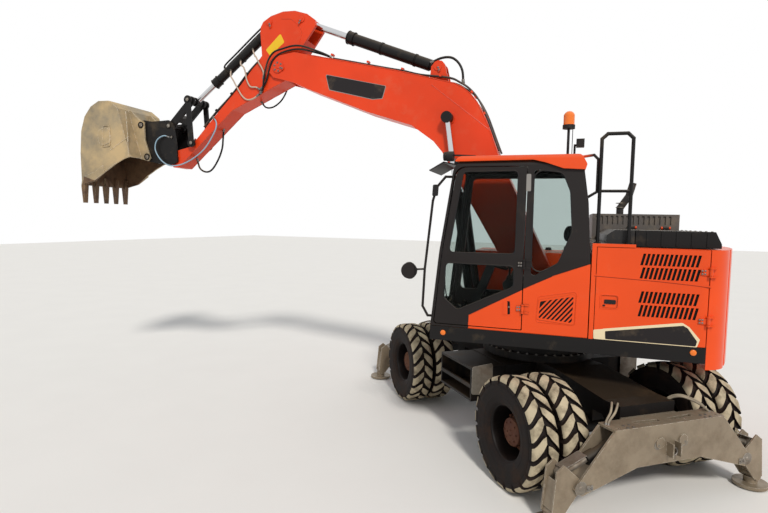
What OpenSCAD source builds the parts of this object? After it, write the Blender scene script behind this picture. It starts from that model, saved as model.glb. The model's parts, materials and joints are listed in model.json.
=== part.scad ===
// Wheeled excavator with a one-piece boom, a quick coupler and four outriggers.
// The upper structure is drawn with the boom along +X, the undercarriage turned under it.
// The slewing axis stands at (-mid_x, -mid_y) in the finished frame.

/* [Stance] */
// Heading of the undercarriage against the boom, in degrees
chassis_turn = -52; // [-180:1:180]
// Distance of the overall box's middle in front of the slewing axis
mid_x = 2252.5; // [2000:0.5:2500]
// Distance of the overall box's middle to the left of the slewing axis
mid_y = -224.6; // [-400:0.1:0]

/* [Wheels] */
// Radius of a tyre out to its lugs' tips
tyre_r = 527; // [480:1:560]
// Width of one tyre
tyre_w = 270; // [240:1:290]
// Distance between the middles of the two tyres of a pair
twin_pitch = 322; // [300:1:340]
// Distance of the outer side of the tyres from the middle
track_half = 1225; // [1180:1:1270]
// Radius where the tyre's bead sits on its rim
bead_r = 254; // [230:1:280]
// Distance of the rear axle behind the slewing axis
rear_axle_x = -1200; // [-1300:1:-1100]
// Distance between the axles
wheelbase = 2600; // [2400:1:2800]
// Radius of a wheel spindle
spindle_r = 45; // [35:1:55]
// Height of a lug over the tread
lug_h = 24; // [15:1:30]

/* [Undercarriage] */
// Half the width of the box frame
frame_half = 320; // [280:1:340]
// Height of the frame's top
frame_top = 960; // [900:1:1000]
// Radius of the slewing ring
ring_r = 600; // [500:1:640]
// Middle of the rear outrigger beam
rear_beam_x = -1870; // [-1950:1:-1850]
// Middle of the front outrigger beam
front_beam_x = 2440; // [2350:1:2550]
// Depth of an outrigger beam along the machine
beam_d = 200; // [190:1:220]
// Distance of a leg's pivot from the middle
leg_y = 945; // [900:1:980]
// Height of a leg's pivot
leg_z = 335; // [300:1:380]

/* [Upper structure] */
// Half the width of the upper structure
house_half = 1246; // [1200:1:1270]
// Height of the skirt's lower edge
skirt_lo = 1252; // [1200:1:1300]
// Height of the skirt's upper edge
skirt_hi = 1396; // [1350:1:1450]
// Height of the engine bay's top
bay_top = 2280; // [2200:1:2350]
// Rear face of the counterweight at its middle
tail_back = -1885; // [-2000:1:-1850]
// Radius of the counterweight's rear face
tail_r = 3000; // [2600:1:3400]
// Radius of the counterweight's rear corners
tail_corner_r = 260; // [200:1:280]
// Front face of the counterweight
tail_x = -1508; // [-1600:1:-1400]
// Wall behind the cab
bay_x = -515; // [-560:1:-480]
// Thickness of sheet-metal panels
panel_t = 40; // [20:1:60]

/* [Cab] */
// Height of the cab's roof
roof_z = 3120; // [3050:1:3180]
// Inner side of the cab
cab_in = 325; // [325:1:345]
// Thickness of the cab's walls
cab_wall = 45; // [35:1:60]
// Post between the door and the rear quarter window
post_x = 110; // [60:1:160]
// Gap around the door
door_gap = 9; // [8:1:12]

/* [Boom and arm] */
// Width of the boom's box
boom_w = 350; // [340:1:352]
// Width of the arm's box
arm_w = 290; // [260:1:300]
// Radius of the large pins
pin_r = 40; // [35:1:50]
// Radius of the cylinders' end pins
end_pin_r = 32; // [28:1:38]
// Radial clearance of a pin in its bore
fit = 0.05; // [0.02:0.01:0.1]

/* [Hidden] */
$fn = 48;
front_axle_x = rear_axle_x + wheelbase;
outer_tyre_y = track_half - tyre_w / 2;
inner_tyre_y = outer_tyre_y - twin_pitch;
wheel_mid_y = (outer_tyre_y + inner_tyre_y) / 2;
deck_z = skirt_lo + 60;
boom_cyl_y = 250;
boom_cyl_half = 50;
side_gap = 8;
hinge_r = 8;
hood_top = 2440;
lifting_depth = [180, 150];
cover_edge = house_half - 136;
rail_y = house_half - 81;
cap_top = roof_z + 44;
// Lower ends of the rows of slots in the engine door
slot_rows = [1645, 1772, 1994, 2121];
vent_y = -330;
hood_axis = [vent_y + 24, hood_top + 22];
hood_hinge_x = [-1380, -1020];
door_hinge_z = [1640, 2080];
door_axis = [post_x - 4, house_half + 18];
bay_axis = [tail_x + 2, house_half + 18];
boom_half = boom_w / 2;
arm_half = arm_w / 2;
fork_half = arm_half + 7;

// Pins of the boom's plane as [x, z]
foot = [0, 1620];
boom_cyl_base = [760, 1400];
boom_cyl_eye = [1135, 3740];
arm_pin = [3485, 4522];
arm_cyl_base = [1300, 4395];
arm_cyl_eye = [3154, 5130];
buck_cyl_base = [3643, 5136];
idler_pin = [4880, 3547];
link_top = [4938, 4161];
tip_pin = [5211, 3328];
coupler_pin = [5300, 3810];
ear_top = [5770, 3830];
ear_low = [5660, 3360];

// Placing and shared shapes

module on_house() {
    translate([-mid_x, -mid_y, 0]) children();
}

module on_chassis() {
    on_house() rotate([0, 0, chassis_turn]) children();
}

// A plate cut to an outline in the X-Z plane, from y0 to y1
module plate(points, y0, y1) {
    translate([0, y1, 0]) rotate([90, 0, 0]) linear_extrude(y1 - y0) polygon(points);
}

// A plate cut to an outline in the Y-Z plane, from x0 to x1
module slice(points, x0, x1) {
    translate([x0, 0, 0]) rotate([90, 0, 90]) linear_extrude(x1 - x0) polygon(points);
}

// A round bar across the machine at an [x, z] place
module cross_bar(at, r, y0, y1) {
    translate([at.x, y1, at.y]) rotate([90, 0, 0]) cylinder(r = r, h = y1 - y0);
}

module both_sides() {
    children();
    mirror([0, 1, 0]) children();
}

module box(lo, hi) {
    translate(lo) cube(hi - lo);
}

// Places its children with +X running from one [x, z] pin towards another
module along(from, to) {
    turn = atan2(to.y - from.y, to.x - from.x);
    translate([from.x, 0, from.y]) rotate([0, -turn, 0]) children();
}

function gap(a, b) = norm(b - a);

// A bent round bar through a list of points
module pipe(points, r) {
    for (i = [0:len(points) - 2]) {
        d = points[i + 1] - points[i];
        translate(points[i]) rotate([0, acos(d.z / norm(d)), atan2(d.y, d.x)]) cylinder(r = r, h = norm(d), $fn = 16);
        if (i > 0) translate(points[i]) sphere(r = r + 1, $fn = 16);
    }
}

// The outline with each corner replaced by an arc of radius r, which may be a list
function soft(points, r, n = 4) = let (k = len(points)) [for (i = [0:k - 1]) each
    let (p = points[i], a = points[(i + k - 1) % k], b = points[(i + 1) % k],
        u = (a - p) / norm(a - p), v = (b - p) / norm(b - p), half = acos(u * v) / 2,
        ri = is_list(r) ? r[i] : r, mid = p + (u + v) / norm(u + v) * ri / sin(half),
        from = p + u * ri / tan(half) - mid, to = p + v * ri / tan(half) - mid,
        start = atan2(from.y, from.x), turn = atan2(to.y, to.x) - start,
        sweep = turn > 180 ? turn - 360 : turn < -180 ? turn + 360 : turn)
    ri == 0 ? [p] : [for (j = [0:n]) mid + ri * [cos(start + sweep * j / n), sin(start + sweep * j / n)]]];

// A cylinder's barrel from its base eye, along +X, with a neck that swings between the ears
module barrel(r, length, eye_r, eye_half) {
    neck_r = min(r, eye_half) - 3;
    neck = eye_r + 60;
    difference() {
        union() {
            translate([eye_r * 0.8, 0, 0]) rotate([0, 90, 0]) cylinder(r = neck_r, h = neck);
            translate([neck, 0, 0]) rotate([0, 90, 0]) cylinder(r = r, h = length - neck);
            translate([length - 90, 0, 0]) rotate([0, 90, 0]) cylinder(r = r + 10, h = 90);
            cross_bar([0, 0], eye_r, -eye_half, eye_half);
        }
        cross_bar([0, 0], end_pin_r + fit, -eye_half - 1, eye_half + 1);
        translate([neck + 15, 0, 0]) rotate([0, 90, 0]) cylinder(r = r - 14, h = length - neck - 45);
        translate([length - 100, 0, 0]) rotate([0, 90, 0]) cylinder(r = r * 0.6 + fit, h = 110);
    }
}

// Its rod, from inside the barrel to the eye at the far end, along +X
module rod(r, length, from, eye_r, eye_half, stub_half) {
    translate([from, 0, 0]) rotate([0, 90, 0]) cylinder(r = r * 0.6, h = length - from);
    cross_bar([length, 0], eye_r, -eye_half, eye_half);
    cross_bar([length, 0], end_pin_r, -stub_half, stub_half);
}

// Undercarriage

frame_side = [[-1700, 480], [-1480, 720], [-920, 720], [-760, 400], [880, 400], [1080, 720],
    [1720, 720], [1960, 480], [2300, 480], [2300, 800], [1900, 900], [760, frame_top],
    [-760, frame_top], [-1500, 860], [-1700, 860]];

module chassis_frame() {
    color("#1c1c1e") on_chassis() {
        difference() {
            union() {
                plate(frame_side, -frame_half, frame_half);
                translate([0, 0, frame_top]) cylinder(r = ring_r + 40, h = 80);
                translate([0, 0, frame_top + 80]) cylinder(r = ring_r, h = 120);
            }
            translate([0, 0, frame_top + 40]) cylinder(r = ring_r - 120 + fit, h = 200);
            // Channel for the drive shaft, open below
            box([-1000, -80, 390], [1150, 80, tyre_r + 35]);
        }
    }
}

module chassis_boxes() {
    color("#3a3f45") on_chassis() both_sides() {
        box([-430, frame_half, 620], [330, 700, 930]);
        box([-400, 700, 900], [300, 1120, 925]);
        box([-420, 700, 560], [-400, 1120, 925]);
        box([300, 700, 560], [320, 1120, 925]);
        box([-400, 760, 560], [300, 1120, 585]);
        // Foot hold across the open side
        box([-420, 1098, 700], [320, 1122, 740]);
    }
}

module axles() {
    color("#2a2a2c") on_chassis() {
        for (x = [rear_axle_x, front_axle_x]) translate([x, 0, tyre_r]) {
            difference() {
                union() {
                    rotate([90, 0, 0]) cylinder(r = 95, h = 2 * 400, center = true);
                    rotate([90, 0, 0]) cylinder(r = 60, h = 2 * 500, center = true);
                    sphere(r = 165);
                    box([-110, -280, 60], [110, 280, 720 - tyre_r]);
                    if (x == front_axle_x) both_sides() translate([0, 500, -70]) cylinder(r = 60, h = 140);
                }
                if (x == front_axle_x) both_sides() translate([0, 500, -80])
                    cylinder(r = 32 + fit, h = 160);
            }
        }
        translate([rear_axle_x, 0, tyre_r]) both_sides() {
            translate([0, 560, 0]) rotate([90, 0, 0]) cylinder(r = 130, h = 90);
            translate([0, 860, 0]) rotate([90, 0, 0]) cylinder(r = spindle_r, h = 310);
        }
        // Gearbox and drive shaft from the rear axle to the front one
        translate([rear_axle_x + 120, 0, tyre_r - 40]) rotate([0, 90, 0]) cylinder(r = 45, h = wheelbase - 240);
        for (x = [rear_axle_x + 150, front_axle_x - 210]) translate([x, 0, tyre_r - 40]) rotate([0, 90, 0])
            cylinder(r = 75, h = 60);
    }
}

module knuckle() {
    translate([front_axle_x, 500, tyre_r]) {
        for (z = [-125, 75]) translate([0, 0, z]) cylinder(r = 65, h = 50);
        translate([0, 0, -100]) cylinder(r = 32, h = 200);
        box([-65, 62, -125], [65, 100, 125]);
        for (z = [-125, 75]) box([-65, 0, z], [65, 100, z + 50]);
        translate([0, 360, 0]) rotate([90, 0, 0]) cylinder(r = spindle_r, h = 270);
    }
}

module knuckle_left() {
    color("#2a2a2c") on_chassis() knuckle();
}

module knuckle_right() {
    color("#2a2a2c") on_chassis() mirror([0, 1, 0]) knuckle();
}

// Tyre section as [radius, sideways] points
tyre_section = [[bead_r, -95], [bead_r + 25, -118], [bead_r + 110, -tyre_w / 2], [tyre_r - 70, -tyre_w / 2 + 4],
    [tyre_r - 12, -tyre_w / 2 + 28], [tyre_r, -tyre_w / 2 + 60], [tyre_r, tyre_w / 2 - 60],
    [tyre_r - 12, tyre_w / 2 - 28], [tyre_r - 70, tyre_w / 2 - 4], [bead_r + 110, tyre_w / 2],
    [bead_r + 25, 118], [bead_r, 95]];

module wheel_at(x, side) {
    on_chassis() translate([x, 0, tyre_r]) scale([1, 1, 1]) mirror([0, side < 0 ? 1 : 0, 0])
        rotate([-90, 0, 0]) children();
}

// Carcass under the lugs, as [radius, sideways] points
carcass_section = [[bead_r, -95], [bead_r + 25, -118], [bead_r + 110, -tyre_w / 2], [tyre_r - 70, -tyre_w / 2 + 4],
    [tyre_r - lug_h, -tyre_w / 2 + 50], [tyre_r - lug_h, tyre_w / 2 - 50], [tyre_r - 70, tyre_w / 2 - 4],
    [bead_r + 110, tyre_w / 2], [bead_r + 25, 118], [bead_r, 95]];
lugs_a_side = 20;

module tyre() {
    rotate_extrude($fn = 72) polygon(carcass_section);
    intersection() {
        rotate_extrude($fn = 72) polygon(tyre_section);
        for (i = [0:lugs_a_side - 1], side = [-1, 1])
            rotate([0, 0, (i + side / 4) * 360 / lugs_a_side]) translate([tyre_r - 74, 0, 0]) rotate([90, 0, 90])
                linear_extrude(90) polygon([[-18, side * 4], [34, side * 4], [82, side * 140], [30, side * 140]]);
    }
}

module tyre_pair() {
    for (y = [inner_tyre_y, outer_tyre_y]) translate([0, 0, y]) tyre();
}

module rim_pair() {
    difference() {
        union() {
            for (y = [inner_tyre_y, outer_tyre_y]) translate([0, 0, y]) rotate_extrude($fn = 72)
                polygon([[bead_r - 22, -95], [bead_r, -95], [bead_r, 95], [bead_r - 22, 95]]);
            translate([0, 0, wheel_mid_y - 90]) rotate_extrude($fn = 72)
                polygon([[0, 0], [bead_r - 22, 0], [bead_r, 24], [bead_r, 156], [bead_r - 22, 180], [0, 180]]);
            translate([0, 0, wheel_mid_y + 90]) cylinder(r = 140, h = 120);
        }
        translate([0, 0, inner_tyre_y - 200]) cylinder(r = spindle_r + fit, h = wheel_mid_y - inner_tyre_y + 200);
    }
}

module tyres_rear_left() { color("#8d7f68") wheel_at(rear_axle_x, 1) tyre_pair(); }
module tyres_rear_right() { color("#8d7f68") wheel_at(rear_axle_x, -1) tyre_pair(); }
module tyres_front_left() { color("#8d7f68") wheel_at(front_axle_x, 1) tyre_pair(); }
module tyres_front_right() { color("#8d7f68") wheel_at(front_axle_x, -1) tyre_pair(); }
module rims_rear_left() { color("#b9b4a8") wheel_at(rear_axle_x, 1) rim_pair(); }
module rims_rear_right() { color("#b9b4a8") wheel_at(rear_axle_x, -1) rim_pair(); }
module rims_front_left() { color("#b9b4a8") wheel_at(front_axle_x, 1) rim_pair(); }
module rims_front_right() { color("#b9b4a8") wheel_at(front_axle_x, -1) rim_pair(); }

// Outriggers

// Places of one outrigger as [y, z]
leg_pivot = [leg_y, leg_z];
leg_eye = [leg_y + 113, leg_z + 99];
leg_top = [leg_y + 160, leg_z + 140];
foot_pin = [leg_y + 205, 118];
leg_cyl_base = [400, 690];
beam_end = [[-628, 760], [-1010, 330], [-930, 265], [-360, 430], [360, 430], [930, 265], [1010, 330], [628, 760]];
leg_half = 75;
leg_plate_t = 16;

module beam(outward) {
    plate_t = 20;
    difference() {
        union() {
            for (x = [-beam_d / 2, beam_d / 2 - plate_t]) slice(beam_end, x, x + plate_t);
            box([-beam_d / 2, -620, 760], [beam_d / 2, 620, 780]);
            box([-beam_d / 2 + plate_t, -340, 440], [beam_d / 2 - plate_t, 340, 460]);
            for (y = [-340, 320]) box([-beam_d / 2 + plate_t, y, 460], [beam_d / 2 - plate_t, y + 20, 760]);
            both_sides() {
                translate([-beam_d / 2, leg_y, leg_z]) rotate([0, 90, 0]) cylinder(r = pin_r, h = beam_d);
                translate([-beam_d / 2, leg_cyl_base.x, leg_cyl_base.y]) rotate([0, 90, 0])
                    cylinder(r = end_pin_r, h = beam_d);
            }
        }
        translate([outward * (beam_d / 2 - 30) - 30, 0, 560]) rotate([0, 90, 0]) cylinder(r = 26, h = 60);
        // Bent slot in the deck plate
        for (side = [-1, 1]) translate([0, 0, 750]) linear_extrude(60)
            polygon([[-30, side * 60], [10, side * 60], [30, side * 330], [-10, side * 330]]);
        for (y = [-560, -200, 200, 560]) translate([outward * 60, y, 770]) cylinder(r = 14, h = 30);
    }
    // Round covers and the hitch's bracket on the outer face
    for (y = [-130, 130]) translate([outward * (beam_d / 2 + 5) - 7, y, 620]) rotate([0, 90, 0]) cylinder(r = 48, h = 14);
    for (y = [-50, 38]) box([min(outward * beam_d / 2, outward * (beam_d / 2 + 70)), y, 500],
        [max(outward * beam_d / 2, outward * (beam_d / 2 + 70)), y + 12, 620]);
}

module outrigger_beams() {
    color("#8f8a7e") on_chassis() {
        translate([rear_beam_x, 0, 0]) beam(-1);
        translate([front_beam_x, 0, 0]) beam(1);
        // Arms from the box frame to the beams
        box([rear_beam_x + beam_d / 2, -frame_half, 480], [-1700, frame_half, 760]);
        box([2300, -frame_half, 480], [front_beam_x - beam_d / 2, frame_half, 760]);
    }
}

// One leg, its foot and its eyes in the left rear place, drawn about x = 0
module leg() {
    half = leg_half;
    difference() {
        union() {
            for (x = [-half, half - leg_plate_t]) slice([[leg_y - 60, leg_z + 20], [leg_y + 20, leg_z - 75],
                [foot_pin.x - 50, foot_pin.y - 20], [foot_pin.x + 50, foot_pin.y], [leg_top.x + 62, leg_top.y + 10],
                [leg_top.x - 10, leg_top.y + 60]], x, x + leg_plate_t);
            slice([[leg_y + 60, leg_z - 60], [foot_pin.x - 30, foot_pin.y + 30], [foot_pin.x + 40, foot_pin.y + 40],
                [leg_top.x + 50, leg_top.y - 70]], -half + leg_plate_t, half - leg_plate_t);
            translate([-half, leg_y, leg_z]) rotate([0, 90, 0]) cylinder(r = 68, h = 2 * half);
            translate([-half, foot_pin.x, foot_pin.y]) rotate([0, 90, 0]) cylinder(r = 40, h = 2 * half);
            translate([0, foot_pin.x, 12]) cylinder(r = 150, h = 30);
            translate([0, foot_pin.x, 42]) cylinder(r = 60, h = 60);
        }
        translate([-half - 1, leg_y, leg_z]) rotate([0, 90, 0]) cylinder(r = pin_r + fit, h = 2 * half + 2);
    }
}

module leg_barrel() {
    turn = atan2(leg_eye.y - leg_cyl_base.y, leg_eye.x - leg_cyl_base.x);
    translate([0, leg_cyl_base.x, leg_cyl_base.y]) rotate([turn, 0, 0]) rotate([0, 0, 90])
        barrel(44, 460, 50, 48);
}

module leg_rod() {
    turn = atan2(leg_eye.y - leg_cyl_base.y, leg_eye.x - leg_cyl_base.x);
    reach = gap(leg_cyl_base, leg_eye);
    translate([0, leg_cyl_base.x, leg_cyl_base.y]) rotate([turn, 0, 0]) rotate([0, 0, 90]) {
        rod(44, reach, 320, 46, 48, 53);
        // Sheet guard over the cylinder
        box([470, -53, 58], [reach + 4, 53, 64]);
        box([reach - 32, -42, 30], [reach + 4, 42, 60]);
    }
}

module outrigger(x, side) {
    on_chassis() translate([x, 0, 0]) mirror([0, side < 0 ? 1 : 0, 0]) children();
}

module leg_rear_left() { color("#8f8a7e") outrigger(rear_beam_x, 1) leg(); }
module leg_rear_right() { color("#8f8a7e") outrigger(rear_beam_x, -1) leg(); }
module leg_front_left() { color("#8f8a7e") outrigger(front_beam_x, 1) leg(); }
module leg_front_right() { color("#8f8a7e") outrigger(front_beam_x, -1) leg(); }
module leg_barrel_rear_left() { color("#222222") outrigger(rear_beam_x, 1) leg_barrel(); }
module leg_barrel_rear_right() { color("#222222") outrigger(rear_beam_x, -1) leg_barrel(); }
module leg_barrel_front_left() { color("#222222") outrigger(front_beam_x, 1) leg_barrel(); }
module leg_barrel_front_right() { color("#222222") outrigger(front_beam_x, -1) leg_barrel(); }
module leg_rod_rear_left() { color("#8f8a7e") outrigger(rear_beam_x, 1) leg_rod(); }
module leg_rod_rear_right() { color("#8f8a7e") outrigger(rear_beam_x, -1) leg_rod(); }
module leg_rod_front_left() { color("#8f8a7e") outrigger(front_beam_x, 1) leg_rod(); }
module leg_rod_front_right() { color("#8f8a7e") outrigger(front_beam_x, -1) leg_rod(); }

// Upper structure

// Half the tail's width at a place along the machine
function tail_edge(x) = let(
    corner_y = house_half - tail_corner_r,
    corner_x = tail_back + tail_r - sqrt(pow(tail_r - tail_corner_r, 2) - pow(corner_y, 2)))
    x > corner_x ? house_half : corner_y + sqrt(max(0, pow(tail_corner_r, 2) - pow(corner_x - x, 2)));

// Plan of the tail: a flat arc with round corners, open towards the front
module tail_shape() {
    arc_x = tail_back + tail_r;
    corner_y = house_half - tail_corner_r;
    corner_x = arc_x - sqrt(pow(tail_r - tail_corner_r, 2) - pow(corner_y, 2));
    union() {
        both_sides() translate([corner_x, corner_y, 0]) cylinder(r = tail_corner_r, h = 4000, $fn = 96);
        box([corner_x, -house_half, 0], [1500, house_half, 4000]);
        intersection() {
            translate([arc_x, 0, 0]) cylinder(r = tail_r, h = 4000, $fn = 240);
            slice([[-corner_y, 0], [corner_y, 0], [corner_y, 4000], [-corner_y, 4000]], tail_back - 10, corner_x + 10);
        }
    }
}

module house_frame() {
    color("#2b2b2d") on_house() {
        difference() {
            union() {
                intersection() {
                    tail_shape();
                    union() {
                        // Deck with its skirt
                        box([tail_x, -house_half, skirt_lo], [bay_x, house_half, deck_z]);
                        box([bay_x, -house_half, skirt_lo], [420, house_half, deck_z]);
                        both_sides() box([400, boom_half + 8, skirt_lo], [1040, house_half, deck_z]);
                        both_sides() box([tail_x, house_half - 60, deck_z], [1040, house_half, skirt_hi]);
                        box([980, -house_half, deck_z], [1040, -330, skirt_hi]);
                        box([980, 330, deck_z], [1040, house_half, skirt_hi]);
                    }
                }
                translate([0, 0, frame_top + 200 + 6]) cylinder(r = ring_r, h = skirt_lo - frame_top - 206);
                translate([0, 0, frame_top + 90]) cylinder(r = ring_r - 120, h = 160);
                // Boom foot brackets
                both_sides() plate([[-300, deck_z], [600, deck_z], [520, 1480], [150, 1740],
                    [-60, 1780], [-180, 1680]], boom_half + 8, boom_half + 33);
                cross_bar(foot, pin_r, -boom_half - 33, boom_half + 33);
                // Ears of the boom cylinders
                both_sides() {
                    for (y = [boom_cyl_y - boom_cyl_half - 19, boom_cyl_y + boom_cyl_half + 7])
                        plate([[680, deck_z], [860, deck_z], [825, 1430], [790, 1465], [730, 1465], [695, 1430]], y, y + 12);
                    cross_bar(boom_cyl_base, end_pin_r, boom_cyl_y - boom_cyl_half - 10, boom_cyl_y + boom_cyl_half + 10);
                }
            }
        }
    }
}

// Door's half of a hinge: a knuckle with its leaf running forward
module hinge_leaf(axis, z, reach) {
    translate([axis.x, axis.y, z - 26]) cylinder(r = 15, h = 52);
    box([axis.x, house_half - 2, z - 26], [axis.x + reach, house_half + 12, z + 26]);
}

// Fixed half: two lugs with the pin between them, the leaf running back
module hinge_lugs(axis, z, reach, root = 30) {
    translate([axis.x, axis.y, z - 46]) cylinder(r = hinge_r, h = 92);
    for (dz = [-46, 30]) {
        translate([axis.x, axis.y, z + dz]) cylinder(r = 15, h = 16);
        box([axis.x - reach, house_half - root, z + dz], [axis.x - 1, house_half + 12, z + dz + 16]);
        box([axis.x - 15, house_half + 4, z + dz], [axis.x, house_half + 12, z + dz + 16]);
    }
}

module counterweight() {
    color("#e0501e") on_house() difference() {
        intersection() {
            tail_shape();
            box([-3000, -house_half, 1196], [tail_x, house_half, bay_top]);
        }
        for (i = [0, 1]) translate([-1690, 560 - 1120 * i, bay_top - lifting_depth[i]]) cylinder(r = 30, h = 200);
    }
    color("#e0501e") on_house() for (z = door_hinge_z) hinge_lugs(bay_axis, z, 50, house_half - tail_edge(tail_x) + 40);
}

module engine_block() {
    color("#5a5f63") on_house() box([-1350, -650, deck_z], [-750, 450, 2150]);
}

module side_panels() {
    color("#e0501e") on_house() {
        // Right side housing with the tanks
        box([bay_x + panel_t, -house_half, skirt_hi], [860, -360, 2120]);
        // Wall behind the cab
        box([bay_x - panel_t, -house_half, skirt_hi], [bay_x, house_half, bay_top]);
        // Right side of the engine bay
        box([tail_x, -house_half, skirt_hi], [bay_x - panel_t, -house_half + panel_t, bay_top]);
        // Fixed deck behind the cab
        box([-890, -house_half, bay_top], [bay_x, house_half, bay_top + 30]);
        // Roof of the bay's right half, with the vent box on it
        box([tail_x, -house_half, bay_top], [-880, vent_y, bay_top + 30]);
        difference() {
            box([-1524, -house_half + 60, bay_top + 20], [-578, vent_y, 2622]);
            for (i = [0:14]) box([-640 - 57 * i, vent_y - 15, 2495], [-612 - 57 * i, vent_y + 5, 2598]);
        }
        // Black cover over the fixed deck, in line with the hood
        plate([[-890, bay_top + 20], [-890, hood_top], [-716, hood_top], [-645, 2390], [-645, bay_top + 20]],
            vent_y - 5, cover_edge);
        // Exhaust pipe, bent back over the vent box
        pipe([[-905, -600, 2600], [-905, -600, 2700], [-1000, -600, 2850], [-1040, -600, 3010]], 42);
        // Rail over the engine door
        box([tail_x, house_half - 100, bay_top - 40], [bay_x - panel_t, house_half - 50, bay_top]);
        // Fixed half of the hood's hinges
        for (x = hood_hinge_x) {
            translate([x - 50, hood_axis.x, hood_axis.y]) rotate([0, 90, 0]) cylinder(r = hinge_r, h = 100);
            for (dx = [-50, 34]) translate([x + dx, 0, 0]) {
                translate([0, hood_axis.x, hood_axis.y]) rotate([0, 90, 0]) cylinder(r = 17, h = 16);
                box([0, vent_y - 5, hood_axis.y - 12], [16, hood_axis.x, hood_axis.y + 12]);
            }
        }
    }
}

module engine_door() {
    color("#e0501e") on_house() difference() {
        union() {
            intersection() {
                tail_shape();
                box([tail_x + side_gap, house_half - panel_t, skirt_hi + 6],
                    [bay_x - panel_t - 6, house_half, bay_top - 6]);
            }
            for (z = door_hinge_z) hinge_leaf(bay_axis, z, 60);
        }
        for (z = door_hinge_z) translate([bay_axis.x, bay_axis.y, z - 60]) cylinder(r = hinge_r + fit, h = 120);
        // Rows of cooling slots and the latch's recess
        for (z = slot_rows) for (i = [0:12]) let (x = -932 - 37.5 * i)
            plate([[x, z], [x - 23, z], [x - 47, z + 108], [x - 24, z + 108]], house_half - 14, house_half + 5);
        difference() {
            plate(soft([[-610, 1702], [-610, 1822], [-755, 1822], [-755, 1702]], 20), house_half - 10, house_half + 5);
            box([-730, house_half - 12, 1745], [-640, house_half - 3, 1775]);
        }
    }
}

module engine_hood() {
    color("#252527") on_house() difference() {
        union() {
            plate([[-898, bay_top + 6], [-898, hood_top], [-1560, hood_top], [-1612, 2330], [-1612, bay_top + 10],
                [-1500, bay_top + 6]], vent_y + 10, cover_edge);
            // Ribs on its left end
            for (x = [-1500:125:-1000]) box([x - 9, cover_edge - 5, bay_top + 20], [x + 9, cover_edge + 8, hood_top - 12]);
            for (x = hood_hinge_x) {
                translate([x - 28, hood_axis.x, hood_axis.y]) rotate([0, 90, 0]) cylinder(r = 17, h = 56);
                box([x - 28, hood_axis.x - 8, hood_top - 5], [x + 28, hood_axis.x + 17, hood_axis.y]);
            }
        }
        for (x = hood_hinge_x) translate([x - 60, hood_axis.x, hood_axis.y]) rotate([0, 90, 0])
            cylinder(r = hinge_r + fit, h = 120);
    }
}

// Cab

cab_side = soft([[1040, skirt_hi], [962, 2190], [838, roof_z], [-400, roof_z], [-465, 2700], [-505, 2100],
    [-505, skirt_hi]], [10, 600, 130, 90, 300, 300, 10]);
cab_side_in = soft([[990, skirt_hi + 44], [915, 2190], [795, roof_z - 60], [-360, roof_z - 60], [-425, 2700],
    [-460, 2100], [-460, skirt_hi + 44]], [10, 600, 90, 60, 300, 300, 10]);
cab_front = soft([[cab_in, skirt_hi], [house_half, skirt_hi], [house_half, 2150], [1175, roof_z],
    [cab_in + 50, roof_z], [cab_in, 2150]], [10, 10, 400, 60, 60, 400]);
cab_front_in = soft([[cab_in + 45, skirt_hi + 44], [house_half - 45, skirt_hi + 44], [house_half - 45, 2150],
    [1130, roof_z - 60], [cab_in + 95, roof_z - 60], [cab_in + 45, 2150]], [10, 10, 400, 40, 40, 400]);
// Line between the dark frame and the painted lower panels, as [x, z]
panel_line = [[640, 1388], [640, 1533], [post_x, 1832], [-160, 1975], [-520, 2120]];

module cab_block(side, front) {
    intersection() {
        plate(side, 0, 1400);
        slice(front, -700, 1200);
    }
}

module cab_shell() {
    difference() {
        cab_block(cab_side, cab_front);
        cab_block(cab_side_in, cab_front_in);
        // Panel joint below the dark frame
        for (i = [0:3]) joint_line(panel_line[i], panel_line[i + 1]);
    }
}

// A narrow groove in the cab's left side from one [x, z] place to another
module joint_line(from, to) {
    translate([0, house_half - 5, 0]) along(from, to) translate([-3, 0, -3]) cube([gap(from, to) + 6, 20, 6]);
}

// The door's place in the cab's left side
module door_zone(g) {
    plate(soft([[post_x + 5 - g, 1430 - g], [1000 + g, 1430 - g], [926 + g, 2190], [812 + 2 * g, 3044 + g],
        [post_x + 5 - g, 3044 + g]], [10, 30, 400, 110, 10]), 1040, 1300);
}

module door_windows() {
    plate(soft([[196, 2178], [868, 2172], [748, 3000], [196, 3006]], 45), 1000, 1300);
    plate(soft([[200, 2058], [200, 1850], [760, 1580], [905, 1700], [895, 2066]], 40), 1000, 1300);
}

module frame_windows() {
    // Rear quarter window
    plate(soft([[48, 3016], [40, 1955], [-215, 2105], [-330, 2420], [-300, 2800], [-225, 2985]],
        [30, 30, 90, 150, 150, 60]), 1000, 1300);
    // Right side window
    plate(soft([[900, 1700], [770, 2990], [-330, 2990], [-400, 2150], [-420, 1700]], 50), 200, 420);
    // Windscreen and rear window
    slice(soft([[cab_in + 70, 1560], [house_half - 70, 1560], [house_half - 70, 2150], [1105, 3030],
        [cab_in + 115, 3030], [cab_in + 70, 2150]], [60, 60, 300, 60, 60, 300]), 700, 1200);
    slice(soft([[cab_in + 90, 2200], [house_half - 90, 2200], [1080, 2990], [cab_in + 130, 2990]], 60), -700, -300);
}

// Painted cap over the roof, dropping down behind the quarter window
module cab_roof() {
    cap = soft([[842, roof_z - 15], [790, cap_top], [-385, cap_top], [-440, roof_z - 60], [-425, 3010],
        [-225, 3022], [-60, 3082], [60, roof_z - 8]], [8, 60, 50, 30, 10, 60, 60, 40]);
    difference() {
        intersection() {
            plate(cap, 0, 1400);
            slice(soft([[cab_in - 4, 2900], [1230, 2900], [1196, roof_z + 10], [1160, cap_top], [cab_in + 60, cap_top],
                [cab_in + 20, roof_z + 10]], [0, 0, 30, 30, 30, 30]), -700, 1200);
        }
        cab_block(cab_side, cab_front);
        door_zone(40);
    }
}

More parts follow.
